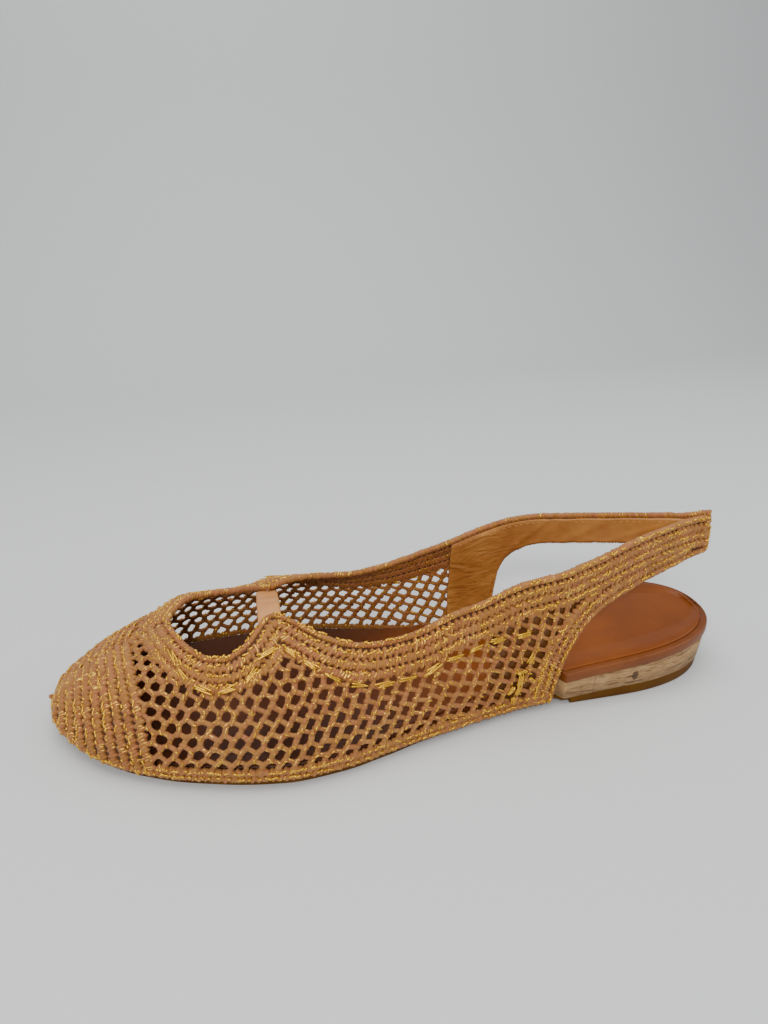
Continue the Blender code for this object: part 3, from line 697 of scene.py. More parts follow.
def raffia(tree):
    """Crocheted raffia with metallic thread: dry flat ribbons, fine lines along the yarn, gold glints."""
    yarn, spot = attribute(tree, "yarn", "Vector"), on_object(tree)
    tone = attribute(tree, "tone", "Fac")
    # fibres run along the yarn, about 0.25 mm apart on a 2.5 mm stitch
    stretch = add_node(tree, "ShaderNodeVectorMath", {"operation": "MULTIPLY", 0: yarn, 1: (1.2, 9.0, 9.0)})
    moved = add_node(tree, "ShaderNodeVectorMath", {"operation": "ADD", 0: stretch.outputs[0],
                                                    1: scaled(tree, attribute(tree, "tone", "Vector"), 37.0)})
    fibre = noise(tree, moved.outputs[0], 1.0, 3.0, 0.65)
    base = ramp(tree, tone, (0.0, linear("966126")), (1.0, linear("B5813F")), (0.3, linear("AF723F")),
                (0.55, linear("AA7330")), (0.78, linear("A3702A")))
    lit = scaled(tree, base, span(tree, fibre, 0.74, 1.1, 0.3, 0.7))
    # old hand marks and sun fade, some 20 mm across
    faded = blend(tree, noise(tree, spot, 45.0), lit, linear("E9CDB4"), "MULTIPLY")
    # a thin gold thread is laid in beside the raffia and comes up in short lengths
    lean = maths(tree, "MULTIPLY_ADD", axis(tree, yarn, "X"), 0.3, axis(tree, yarn, "Y"))
    away = maths(tree, "ABSOLUTE", maths(tree, "ADD", lean, span(tree, tone, -0.45, 0.45)))
    often = maths(tree, "GREATER_THAN", noise(tree, spot, 420.0, 0.0), 0.57)
    some = maths(tree, "MULTIPLY", maths(tree, "LESS_THAN", away, 0.07), often)
    mask = maths(tree, "MAXIMUM", some, attribute(tree, "gold", "Fac"))
    gold = chosen(bpy.context.scene.slingback.gold_colour)
    return {"Base Color": blend(tree, mask, faded, gold), "Metallic": maths(tree, "MULTIPLY", mask, 0.85),
            "Roughness": span(tree, mask, 0.62, 0.32), "Normal": bump(tree, fibre, 0.7, 0.25 * MM),
            "Sheen Weight": 0.12, "Sheen Roughness": 0.4}


def lurex(tree):
    """Gold lurex thread: flat metallised film wound on a core, bright along its length."""
    stretch = add_node(tree, "ShaderNodeVectorMath", {
        "operation": "MULTIPLY", 0: attribute(tree, "yarn", "Vector"), 1: (14.0, 3.0, 3.0)})
    wind = noise(tree, stretch.outputs[0], 1.0)
    gold = chosen(bpy.context.scene.slingback.gold_colour)
    return {"Base Color": ramp(tree, wind, (0.3, linear("BC8210")), (0.7, gold)),
            "Normal": bump(tree, wind, 0.8, 0.12 * MM), "Metallic": 0.82, "Roughness": 0.26}


def leather(tree, colour, dark, rough, grain, crease=0.0, worn=0.0, flesh=""):
    """Vegetable tanned leather: fine grain, soft shine, colour in soft clouds; where asked, painted shade on
    the forepart and on the flesh side.
    """
    spot = on_object(tree)
    cells = add_node(tree, "ShaderNodeTexVoronoi", {
        "Scale": 1.0 / (grain * MM), "Randomness": 1.0, "Vector": spot})
    cloud = noise(tree, spot, 38.0, 4.0, 0.6)
    tone = ramp(tree, cloud, (0.28, dark), (0.68, colour))
    if worn:
        # painted shade: the forepart is darkened from the ball to the toe, standing in for the shade inside
        # the shoe's front
        front = span(tree, axis(tree, spot, "X"), worn, 0.0, SHADE_TO, SHADE_FROM, "SMOOTHSTEP")
        tone = blend(tree, front, tone, linear("3A1602"))
    if flesh:
        # painted shade: the rough flesh side faces the net and is darkened, as it lies in shade behind the
        # net
        tone = blend(tree, attribute(tree, "flesh", "Fac"), tone, linear(flesh))
    relief = bump(tree, noise(tree, spot, 900.0), 0.3, 0.06 * MM,
                  bump(tree, cells.outputs["Distance"], 0.25, 0.08 * MM))
    if crease:
        # handling creases run up the lining, some 3 mm apart, and the strap is pulled smooth
        flat = add_node(tree, "ShaderNodeMapping", {
            "Scale": (75.0, 150.0, 210.0), "Rotation": (0.0, 0.3, 0.0), 0: spot})
        slack = span(tree, axis(tree, spot, "X"), crease, 0.2 * crease, STRAP_FROM, STRAP_FROM + 25.0 * MM)
        relief = bump(tree, noise(tree, flat.outputs[0], 1.0, 2.0, 0.5, 1.6), slack, 1.4 * MM, relief)
    return {"Base Color": tone, "Roughness": span(tree, cloud, rough - 0.08, rough + 0.1), "Normal": relief,
            "Coat Weight": 0.06, "Coat Roughness": 0.35, "Specular IOR Level": 0.28}


def cork(tree):
    """Pressed cork sheet: pale granules, level dark bark flecks, one knot and the strip's upright join."""
    spot = on_object(tree)
    level = add_node(tree, "ShaderNodeMapping", {"Scale": (90.0, 90.0, 620.0), 0: spot}).outputs[0]
    body = ramp(tree, noise(tree, level, 2.2, 5.0, 0.6), (0.3, linear("86623A")), (0.7, linear("B79466")))
    flecks = span(tree, noise(tree, level, 1.6, 2.0, 0.5, 0.6), 0.0, 0.8, 0.56, 0.66)
    flecked = blend(tree, flecks, body, linear("4E3319"))
    grains = add_node(tree, "ShaderNodeTexVoronoi", {"Scale": 700.0, "Vector": spot}).outputs["Distance"]
    reach = []
    for name, middle, half in (("X", CORK_KNOT[0], 1.5 * MM), ("Z", CORK_KNOT[1], 2.6 * MM)):
        share = maths(tree, "DIVIDE", maths(tree, "SUBTRACT", axis(tree, spot, name), middle), half)
        reach.append(maths(tree, "POWER", maths(tree, "ABSOLUTE", share), 2.0))
    ragged = maths(tree, "MULTIPLY_ADD", noise(tree, spot, 900.0), 1.6, -0.8)
    edge = maths(tree, "ADD", maths(tree, "ADD", *reach), ragged)
    lateral = maths(tree, "LESS_THAN", axis(tree, spot, "Y"), 0.0)
    knot = maths(tree, "MULTIPLY", span(tree, edge, 0.85, 0.0, 0.7, 1.1), lateral)
    join = maths(tree, "MULTIPLY", maths(tree, "COMPARE", axis(tree, spot, "X"), CORK_JOIN, 0.16 * MM), 0.55)
    return {"Base Color": blend(tree, maths(tree, "MAXIMUM", knot, join), flecked, linear("3E2A16")),
            "Normal": bump(tree, grains, 0.5, 0.2 * MM), "Roughness": 0.85}


def rubber(tree):
    """Moulded caramel rubber: even colour and a soft gloss."""
    spot = on_object(tree)
    tone = ramp(tree, noise(tree, spot, 60.0, 4.0), (0.3, linear("522E02")), (0.7, linear("664204")))
    return {"Base Color": tone, "Normal": bump(tree, noise(tree, spot, 1400.0), 0.25, 0.05 * MM),
            "Roughness": 0.6, "Specular IOR Level": 0.14}


def mottled(tree, where, scale, dark, pale, rough):
    """Plain matt stuff between two colours: the dark web of painted shade, waxed thread or paper."""
    clouds = noise(tree, where(tree), scale)
    return {"Base Color": ramp(tree, clouds, (0.0, linear(dark)), (1.0, linear(pale))), "Roughness": rough}


# Pieces
STATE = {}


def skins():
    """Both sides of the upper in the frame's own place, found from the footbed's rearmost point."""
    bed = [v.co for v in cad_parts["footbed"].data.vertices]
    rear = max(bed, key=lambda c: c.x)
    shift = (rear.x - LENGTH / 2.0, rear.y, 0.0)
    if not STATE:
        STATE["shift"] = shift
        STATE["skins"] = {side: Skin(side, shift) for side in (-1, 1)}
        for side, skin in STATE["skins"].items():
            STATE["top", side], STATE["rear", side] = top_line(skin), rear_line(skin)
    return STATE["skins"]


def toss(*key):
    """Even chance from 0 to 1 that is the same each run."""
    value = math.sin(sum((k + 1) * 12.9898 * (i + 1.37) for i, k in enumerate(key))) * 43758.5453
    return value - math.floor(value)


def lay_row(out, threads, skin, line, key, pitch, long, depth, thick, slant, keep=None, reach=(1.32, 0.84)):
    """Row of slanted wraps lapped like shingles, two to a stitch: the long one bridges to the next row."""
    if len(line) < 4:
        return
    places, normals, runs, flats = walk(skin, line, pitch / 2.0, depth)
    for k in range(len(places)):
        if keep is not None and not keep(flats[k]):
            continue
        n, t = normals[k], runs[k]
        across = np.cross(n, t)
        lean = slant + 0.24 * (toss(key, k, 3) - 0.5)
        way = across * math.cos(lean) + t * math.sin(lean)
        lap = np.cross(way, n)
        tilt = n * math.cos(LAP) + lap * math.sin(LAP)
        size = (long * reach[k % 2] * (0.9 + 0.2 * toss(key, k, 4)),
                pitch * (0.62 + 0.2 * (k % 2) + 0.1 * toss(key, k, 13)), thick)
        tone = 0.6 * toss(key, k // 2, 1) + 0.4 * toss(key, k // 9, 6)
        out.add(places[k] + n * 0.3 * MM * (toss(key, k, 5) - 0.5), tilt, way, size, tone, 0.0)
        bunch = toss(key, k // 4, 8) < 0.36
        if toss(key, k, 7) < (0.85 if bunch else THREAD_SHARE):
            turn = (1.6 if bunch else 1.0) * (toss(key, k, 9) - 0.5)
            shown = t * math.cos(turn) + across * math.sin(turn)
            where = places[k] + n * (thick * 0.42) + across * long * (0.2 + 0.3 * (toss(key, k, 10) - 0.5))
            length = (1.3 + 1.3 * toss(key, k, 11)) * MM
            threads.add(where, n, shown, (length, 0.84 * MM, 0.78 * MM), toss(key, k, 12), 1.0)


def band_lines(skin):
    """Flat lines of the dense rows beside the top edge and the rear edge, with their keep tests."""
    looks = bpy.context.scene.slingback
    top, rear = STATE["top", skin.side], STATE["rear", skin.side]
    pitch = looks.row_pitch
    rows = []
    on_sheet = lambda f: 0.0 <= f[1] <= skin.ridge(f[0]) - 0.2 * MM and 0.0 < f[0] < LENGTH
    for k in range(3):
        d = FIRST_ROW + k * pitch
        room = CORD_ROOM * (0.6 if k == 2 else 1.0)
        clear = lambda f, room=room: on_sheet(f) and distance(f, rear)[0] > room
        rows.append(("top", k, offset(top, d, -1), clear))
    for k in range(2):
        d = FIRST_ROW - 0.2 * MM + k * pitch
        room = FIRST_ROW + pitch * 2.0 + 1.4 * MM
        clear = lambda f, room=room: on_sheet(f) and distance(f, top)[0] > room
        rows.append(("rear", k, offset(rear, d, 1), clear))
    return rows


class SLINGBACK_OT_toe_cap(bpy.types.Operator):
    """Dense crochet rows of the toe cap and the turned-in rows along the feather line"""
    bl_idname = "slingback.toe_cap"
    bl_label = "Toe cap rows"

    def execute(self, context):
        looks = context.scene.slingback
        out, threads = Stitches(), Stitches()
        count = looks.cap_rows
        for side, skin in skins().items():
            for r in range(count):
                share = 1.0 - (r + 0.42) / (count + 0.1)
                line = cap_line(skin, share)
                lay_row(out, threads, skin, line, 10 * r + side, looks.stitch_pitch, looks.cap_pitch,
                        0.85 * MM, 2.3 * MM, CAP_SLANT)
            for k, share in enumerate((0.025, 0.046)):
                lay_row(out, threads, skin, cap_line(skin, share), 10 * (count + k) + side,
                        looks.stitch_pitch, 2.6 * MM, 1.0 * MM, 2.1 * MM, CAP_SLANT)
            rear = STATE["rear", side]
            clear = lambda f: f[0] < rear[0, 0] and distance(f, rear)[0] > 2.6 * MM
            for k, (start, h) in enumerate(((0.0, 1.3 * MM), (0.158, 4.0 * MM))):
                along = start + (FOOT_END - start) * np.linspace(0.0, 1.0, 400) ** 2.2
                foot = np.stack([LENGTH * along, np.full(400, h)], -1)
                lay_row(out, threads, skin, foot, 900 + 40 * k + side, looks.stitch_pitch, 2.9 * MM,
                        0.9 * MM, 2.1 * MM, 0.5, clear)
        piece = set_out("toe_cap_crochet", out, finish("crocheted_raffia", raffia))
        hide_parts("upper")
        set_out("toe_cap_threads", threads, finish("gold_lurex_thread", lurex))
        return {"FINISHED"}


class SLINGBACK_OT_bands(bpy.types.Operator):
    """Dense rows along the collar, the cut-out, the quarter edge and the strap, with their wrapped edges"""
    bl_idname = "slingback.bands"
    bl_label = "Collar and strap rows"

    def execute(self, context):
        looks = context.scene.slingback
        rows, wraps, threads = Stitches(), Stitches(), Stitches()
        for side, skin in skins().items():
            for kind, k, line, clear in band_lines(skin):
                lay_row(rows, threads, skin, line, 100 + 10 * k + side + (50 if kind == "rear" else 0),
                        looks.stitch_pitch, looks.row_pitch, 0.8 * MM, 2.2 * MM, 0.3, clear,
                        (1.52, 0.78) if k == 0 else (1.34, 0.88))
            for key, line, turn in ((1, STATE["top", side], -1), (2, STATE["rear", side], 1)):
                edge = offset(line, 0.9 * MM, turn)
                inside = lambda f: f[1] < skin.ridge(f[0]) + 0.1 * MM
                lay_row(wraps, threads, skin, edge, 300 + key * 7 + side, EDGE_PITCH,
                        2.9 * MM, 1.1 * MM, 3.0 * MM, 0.5, inside, EDGE_REACH)
            low, high = STATE["rear", side][-1, 1], STATE["top", side][-1, 1]
            end = np.array([(LENGTH * 0.9996, h) for h in np.linspace(low + MM, high - MM, 40)])
            lay_row(wraps, threads, skin, end, 340 + side, EDGE_PITCH, 3.2 * MM, 1.0 * MM, 2.8 * MM, 0.4,
                    reach=EDGE_REACH)
        set_out("collar_crochet", rows, finish("crocheted_raffia", raffia))
        set_out("edge_wraps", wraps, finish("crocheted_raffia", raffia))
        set_out("collar_threads", threads, finish("gold_lurex_thread", lurex))
        return {"FINISHED"}


def in_net(skin, f):
    """How far a flat place lies inside the open net, negative in the dense rows."""
    looks = bpy.context.scene.slingback
    x, h = f
    top, rear = STATE["top", skin.side], STATE["rear", skin.side]
    if x > top[0, 0] and h > np.interp(x, top[:, 0], top[:, 1]):
        return -10 * MM
    if x > rear[:, 0].min() and h < np.interp(x, rear[:, 0], rear[:, 1]):
        return -10 * MM
    a = np.interp(h, [0.0, skin.ridge(x)], [0.0, 1.0])
    return min(distance(f, top)[0] - (FIRST_ROW + 2.45 * looks.row_pitch),
               distance(f, rear)[0] - (FIRST_ROW + 1.4 * looks.row_pitch),
               x - cap_x(a) - 0.8 * MM, h - 5.2 * MM, skin.ridge(x) - h + 3.0 * MM)


def net_post(i, j):
    """Foot and head of the post between two holes, as they lie in the flat sheet."""
    looks = bpy.context.scene.slingback
    along, up = looks.net_pitch_x * (1.015 - 0.013 * j), looks.net_pitch_z
    x = NET_ORIGIN + along * (i + 0.5) - NET_DRIFT * j
    h = NET_FIRST + up * j - NET_DIP * max(0.0, x - NET_DIP_FROM)
    tall = 0.66 * up
    lean = (0.5 * along - NET_DRIFT) / 2.0
    loose = lambda q: looks.net_loose * (toss(i, j, q) - 0.5) * 2.0
    return ((x - lean + loose(5), h - tall / 2.0 + loose(6)),
            (x + lean + loose(7), h + tall / 2.0 + loose(8)))


class SLINGBACK_OT_net(bpy.types.Operator):
    """Open crochet net of the vamp and quarters: leaning posts between chained rows"""
    bl_idname = "slingback.net"
    bl_label = "Open net"

    def execute(self, context):
        looks = context.scene.slingback
        strands, knots, threads = Stitches(), Stitches(), Stitches()
        w = looks.strand_width
        for side, skin in skins().items():
            post = {(i, j): net_post(i, j) for i in range(-6, 42) for j in range(-1, 13)}
            for (i, j), (foot, head) in post.items():
                links = [(0, foot, head)]
                if (i, j + 1) in post:
                    links.append((1, post[i, j + 1][0], head))
                if (i + 1, j + 1) in post:
                    links.append((2, head, post[i + 1, j + 1][0]))
                for kind, a, b in links:
                    mid = ((a[0] + b[0]) / 2, (a[1] + b[1]) / 2)
                    if not (NET_FROM * LENGTH < mid[0] < NET_TO * LENGTH and 2.0 * MM < mid[1] < 60 * MM):
                        continue
                    if in_net(skin, mid) < -1.4 * MM:
                        continue
                    pts, ns = skin.at([a, b], (0.95 + 0.3 * (toss(i, j, kind) - 0.5)) * MM)
                    span = pts[1] - pts[0]
                    long = float(np.linalg.norm(span))
                    close = 1.0 + 0.35 * ease((mid[1] - 31 * MM) / (4 * MM)) * (mid[0] < 0.24 * LENGTH)
                    wide = w * (1.08 if kind == 0 else 0.9) * close * (0.9 + 0.25 * toss(i, j, kind, 14))
                    strands.add(pts.mean(0), ns.mean(0), span, (long + 1.5 * MM, wide, 1.35 * MM),
                                toss(i // 3, j, kind, side), 0.0)
                for key, at in ((1, foot), (2, head)):
                    if not NET_FROM * LENGTH < at[0] < NET_TO * LENGTH or at[1] < 3 * MM:
                        continue
                    if in_net(skin, at) < -1.0 * MM:
                        continue
                    pts, ns = skin.at([at, (at[0] + MM, at[1]), (at[0], at[1] + MM)], 0.8 * MM)
                    along, up = pts[1] - pts[0], pts[2] - pts[0]
                    tone = toss(i, j, key + 20, side)
                    flat_way = along + up * 0.5 * (toss(i, j, key, 15) - 0.5)
                    knots.add(pts[0], ns[0], flat_way, (w * 1.75, w * 1.12, 1.5 * MM), tone, 0.0)
                    lean = 0.35 + 0.5 * toss(i, j, key, 16)
                    knots.add(pts[0] + ns[0] * 0.25 * MM, ns[0], up + along * lean,
                              (w * 1.5, w * 0.8, 1.4 * MM), 1.0 - tone, 0.0)
                    if toss(i, j, key + 30, side) < 0.6:
                        turn = 3.1 * toss(i, j, key, 17)
                        where = pts[0] + ns[0] * 1.0 * MM + along * 0.7 * (toss(i, j, key, 18) - 0.5)
                        length = (1.4 + 1.3 * toss(i, j, key, 19)) * MM
                        threads.add(where, ns[0], along * math.cos(turn) + up * math.sin(turn),
                                    (length, 0.6 * MM, 0.55 * MM), tone, 1.0)
        set_out("net_strands", strands, finish("crocheted_raffia", raffia))
        set_out("net_knots", knots, finish("crocheted_raffia", raffia))
        set_out("net_threads", threads, finish("gold_lurex_thread", lurex))
        return {"FINISHED"}


class SLINGBACK_OT_gold_threads(bpy.types.Operator):
    """Running stitches of gold thread under the collar rows and the loops beside the quarter edge"""
    bl_idname = "slingback.gold_threads"
    bl_label = "Gold threads"

    def execute(self, context):
        out = Stitches()

        def bundle(skin, f, lean, length, count, key):
            """Few threads side by side, leaning from upright."""
            pts, ns = skin.at([f, (f[0] + MM, f[1]), (f[0], f[1] + MM)], -0.25 * MM)
            along, up = pts[1] - pts[0], pts[2] - pts[0]
            along, up = along / np.linalg.norm(along), up / np.linalg.norm(up)
            for k in range(count):
                turn = lean + 0.22 * (toss(key, k, 51) - 0.5)
                way = up * math.cos(turn) + along * math.sin(turn)
                beside = np.cross(ns[0], way) * (k - (count - 1) / 2.0) * 0.62 * MM
                shift = way * (toss(key, k, 52) - 0.5) * 0.25 * length
                lift = ns[0] * 0.35 * MM * toss(key, k, 53)
                size = (length * (0.8 + 0.35 * toss(key, k, 54)), 0.72 * MM, 0.66 * MM)
                out.add(pts[0] + beside + shift + lift, ns[0], way, size, toss(key, k, 55), 1.0)

        for side, skin in skins().items():
            top = STATE["top", side]
            xs = np.linspace(RUNNING[1][0], 0.64, 300) * LENGTH
            below = curve(column(RUNNING, "station") * LENGTH, column(RUNNING, "below"), xs) * MM
            hs = np.interp(xs, top[:, 0], top[:, 1]) - below
            line = np.stack([xs, np.minimum(hs, skin.ridge(xs) - 2 * MM)], -1)
            flats = walk(skin, line, 9.3 * MM, -0.3 * MM)[3]
            for k in range(len(flats)):
                ahead = np.interp(flats[k, 0] + MM, line[:, 0], line[:, 1]) - flats[k, 1]
                lean = math.pi / 2 - math.atan2(ahead, MM) + 0.35 * (toss(k, side, 41) - 0.5)
                length, count = (6.2 + 2.2 * toss(k, side, 42)) * MM, 2 + (toss(k, side, 43) > 0.6)
                bundle(skin, flats[k], lean, length, count, 60 + k)
            for k, (x, h, lean, length, count) in enumerate(LOOPS[1:]):
                bundle(skin, (x * LENGTH, h * MM), lean, length * MM, count, 90 + k)
        set_out("gold_running_stitch", out, finish("gold_lurex_thread", lurex))
        return {"FINISHED"}


class SLINGBACK_OT_ground(bpy.types.Operator):
    """Thin dark web of painted shade behind the rows of the dense crochet, so that its pinholes stay dark"""
    bl_idname = "slingback.ground"
    bl_label = "Web behind the rows"

    def execute(self, context):
        looks = context.scene.slingback
        # painted shade: a dark brown sheet stands in for the shade seen through the pinholes
        shade = finish("painted_shade_backing", mottled, on_object, 700.0, "2E1709", "5E3718", 0.9)
        for side, skin in skins().items():
            label = "lateral" if side < 0 else "medial"
            rows = [cap_line(skin, s) for s in np.linspace(0.0, 1.0, 17) ** 1.3 * 0.985]
            grid = np.stack([skin.at(r, WEB_DEPTH)[0] for r in rows])
            under = np.stack([skin.at(r, WEB_DEPTH + WEB_THICK)[0] for r in rows])
            closed_sheet("cap_web_" + label, grid, under, shade)
            for kind, turn, deep in (("top", -1, FIRST_ROW + 2.3 * looks.row_pitch),
                                     ("rear", 1, FIRST_ROW + 1.3 * looks.row_pitch)):
                line = STATE[kind, side]
                run = np.gradient(line, axis=0)
                run /= np.maximum(np.linalg.norm(run, axis=1), 1e-12)[:, None]
                normal = turn * np.stack([-run[:, 1], run[:, 0]], -1)
                grid, under = [], []
                for d in np.linspace(0.2 * MM, deep, 7):
                    flat = line[::4] + normal[::4] * d
                    flat[:, 0] = np.clip(flat[:, 0], 0.0, LENGTH)
                    flat[:, 1] = np.clip(flat[:, 1], 0.0, skin.ridge(flat[:, 0]))
                    grid.append(skin.at(flat, WEB_DEPTH)[0])
                    under.append(skin.at(flat, WEB_DEPTH + WEB_THICK)[0])
                closed_sheet(kind + "_web_" + label, np.stack(grid), np.stack(under), shade)
        return {"FINISHED"}


class SLINGBACK_OT_lining(bpy.types.Operator):
    """Leather lining of the quarters and strap, stitched just under the top edge"""
    bl_idname = "slingback.lining"
    bl_label = "Quarter and strap lining"

    def execute(self, context):
        looks = context.scene.slingback
        # the lining's flesh side gets a dark brown of painted shade, for the shade behind the net
        glove = finish("glove_leather_lining", leather, chosen(looks.lining_colour), linear("985C2C"), 0.42,
                       grain=0.9, crease=0.75, flesh="6E4420")
        thread = Stitches()
        for side, skin in skins().items():
            label = "lateral" if side < 0 else "medial"
            top, rear = STATE["top", side], STATE["rear", side]
            quarter, strap = np.linspace(LINING_START, 0.70, 16), np.linspace(0.705, 0.99998, 60)
            xs = np.concatenate([quarter, strap]) * LENGTH
            cols = 15
            grid, under = [], []
            for x in xs:
                high = np.interp(x, top[:, 0], top[:, 1]) - 1.7 * MM
                low = 1.5 * MM
                if x > rear[0, 0]:
                    low = np.interp(x, rear[:, 0], rear[:, 1]) + 0.6 * MM
                hs = np.linspace(low, max(high, low + MM), cols)
                flat = np.stack([np.full(cols, x), hs], -1)
                depth = 2.0 * MM - lining_folds(flat)
                grid.append(skin.at(flat, depth)[0])
                under.append(skin.at(flat, depth + LINING_THICK)[0])
            closed_sheet("lining_" + label, np.stack(grid), np.stack(under), glove)
            line = offset(top, 3.4 * MM, -1)
            line = line[line[:, 0] > LINING_START * LENGTH + 2 * MM]
            places, normals, runs, _ = walk(skin, line, 2.6 * MM, 2.75 * MM)
            for k in range(len(places)):
                thread.add(places[k], normals[k], runs[k], (1.9 * MM, 0.5 * MM, 0.4 * MM), toss(k, 77), 0.0)
        waxed = finish("waxed_thread", mottled, lambda tree: attribute(tree, "yarn", "Vector"), 9.0,
                       "A86A30", "D09A58", 0.5)
        set_out("lining_stitches", thread, waxed)
        return {"FINISHED"}


def lining_folds(flat):
    """Soft creases of the lining: crease place along the shoe, height, direction, width and depth."""
    rows = (("station", "height", "lean", "width", "deep"),
            (0.650, 0.60, 0.9, 1.6, 0.50), (0.668, 0.45, 0.7, 1.3, 0.40), (0.690, 0.55, 1.1, 1.8, 0.45),
            (0.712, 0.62, 0.8, 1.4, 0.35), (0.735, 0.70, 1.3, 1.6, 0.30), (0.634, 0.35, 0.5, 1.5, 0.35),
            (0.850, 0.50, 2.0, 1.4, 0.25), (0.905, 0.50, 2.2, 1.3, 0.22), (0.955, 0.50, 2.0, 1.2, 0.25))
    total = np.zeros(len(flat))
    for x0, h0, lean, width, deep in rows[1:]:
        d = (flat[:, 0] - x0 * LENGTH) - (flat[:, 1] - h0 * 40 * MM) / lean
        total -= deep * MM * np.exp(-(d / (width * MM)) ** 2)
    return total


# Sole
def plan_ring(stations, front_inset, heel_inset):
    """Lateral and medial plan edges: inside the upper in front, out to the heel seat behind the quarters."""
    us = spread(stations)
    halves = []
    for side in (-1, 1):
        line = last_surface(np.minimum(us, spread(0.80)), 0.0, side)[:, :2]
        line[:, 0] = (stations - 0.5) * LENGTH
        run = np.gradient(line, axis=0)
        run /= np.linalg.norm(run, axis=1)[:, None]
        outward = np.stack([side * -run[:, 1], side * run[:, 0]], -1)
        if stations[0] == 0.0:
            outward[0] = (-1.0, 0.0)
        front = line - outward * front_inset(stations)[:, None]
        x = (stations - 0.5) * LENGTH - heel_inset * ease((stations - 0.78) / 0.22)
        into = np.clip((x - (0.5 * LENGTH - HEEL_ROUND)) / (HEEL_ROUND - heel_inset), 0.0, 1.0)
        half = (HEEL_WIDTH / 2.0 - heel_inset) * (1.0 - into ** HEEL_CURVE) ** (1.0 / HEEL_CURVE)
        seat = np.stack([x, side * half], -1)
        out = ease((stations - SEAT_AT[side]) / SEAT_RUN)[:, None]
        halves.append(front * (1.0 - out) + seat * out)
    return halves


def ease(x):
    x = np.clip(x, 0.0, 1.0)
    return x * x * (3.0 - 2.0 * x)


def height(name, t):
    return HEEL_HEIGHT * curve(column(SOLE_HEIGHTS, "station"), column(SOLE_HEIGHTS, name), t)


def sole_piece(name, start, levels, material, dish=0.0, rows=15, count=150):
    """Closed piece of plan rings from bottom to top, its top dished, with fine even stations."""
    shift = np.array(STATE["shift"])
    us = np.linspace(float(spread(start)), 1.0, count)
    extra = np.concatenate([np.linspace(SEAT_AT[s] - 0.001, SEAT_AT[s] + SEAT_RUN + 0.001, 7)
                            for s in (1, -1)])
    stations = np.unique(np.round(np.concatenate([station(us), extra,
                                                  [BREAST_AT - 0.0004, BREAST_AT + 0.0004]]), 6))
    stations[0], stations[-1] = start, 1.0
    last = len(stations) - 1
    closed_toe = start == 0.0
    verts, faces, rings = [], [], []
    for front_inset, heel_inset, level in levels:
        lateral, medial = plan_ring(stations, front_inset, heel_inset)
        z = level(stations)
        if closed_toe:
            medial[0] = lateral[0] = (lateral[0] + medial[0]) / 2.0
        medial[last] = lateral[last] = (lateral[last] + medial[last]) / 2.0
        order = [(lateral[i], z[i]) for i in range(last + 1)]
        order += [(medial[i], z[i]) for i in range(last - 1, 0 if closed_toe else -1, -1)]
        rings.append(list(range(len(verts), len(verts) + len(order))))
        verts += [(p[0], p[1], q) for p, q in order]
    n = len(rings[0])
    for low, high in zip(rings[:-1], rings[1:]):
        for i in range(n if closed_toe else n - 1):
            j = (i + 1) % n
            faces.append((low[j], low[i], high[i], high[j]))
    fronts = []
    for ring, sag in ((rings[0], 0.0), (rings[-1], dish)):
        grid = []
        for i in range(last + 1):
            a = ring[i]
            if (i == 0 and closed_toe) or i == last:
                grid.append([a] * rows)
                continue
            b = ring[2 * last - i]
            line = [a]
            for k in range(1, rows - 1):
                s = k / (rows - 1)
                p = np.array(verts[a]) * (1 - s) + np.array(verts[b]) * s
                p[2] -= sag * (1.0 - (2 * s - 1) ** 2)
                line.append(len(verts))
                verts.append(tuple(p))
            grid.append(line + [b])
        fronts.append(grid[0])
        for one, two in zip(grid[:-1], grid[1:]):
            for k in range(rows - 1):
                f = []
                for q in (one[k], one[k + 1], two[k + 1], two[k]):
                    if q not in f:
                        f.append(q)
                if len(f) > 2:
                    faces.append(tuple(f))
    if not closed_toe:
        faces.append(tuple(fronts[0]) + tuple(fronts[1][::-1]))
    return mesh_piece(name, np.array(verts) + shift, faces, material)


def rolled(inset, heel, level, by, down, steps, low=False):
    """Levels that round an edge: in from the side and down from the top, or in and up from below."""
    levels = []
    for q in np.linspace(0.0, math.pi / 2.0, steps):
        side, drop = 1.0 - math.cos(q), 1.0 - math.sin(q)
        if low:
            side, drop = drop, -side
        levels.append((lambda t, s=side: inset(t) + by * s, heel + by * side,
                       lambda t, d=drop: level(t) - down * d))
    return levels


def toe_peel(t):
    return 1.0 * MM * np.clip(1.0 - t / 0.15, 0.0, 1.0) ** 2


def bed_inset(t):
    return BED_INSET + toe_peel(t)


def outsole_bottom(t):
    return np.where(t > BREAST_AT, 0.0, height("bottom", t))


def outsole_top(t):
    return height("outsole_top", t)


def rim_drop(t):
    """How far the board lies down over the cork towards the heel."""
    return RIM_DROP * ease((t - 0.56) / 0.2)


def cork_top(t):
    return np.maximum(height("cork_top", t), outsole_top(t)) + rim_drop(t)


def bed_bottom(t):
    return cork_top(t) + FIT


def bed_top(t):
    return bed_bottom(t) - rim_drop(t) + BED_THICK * (0.5 + 0.5 * ease(t / 0.14))


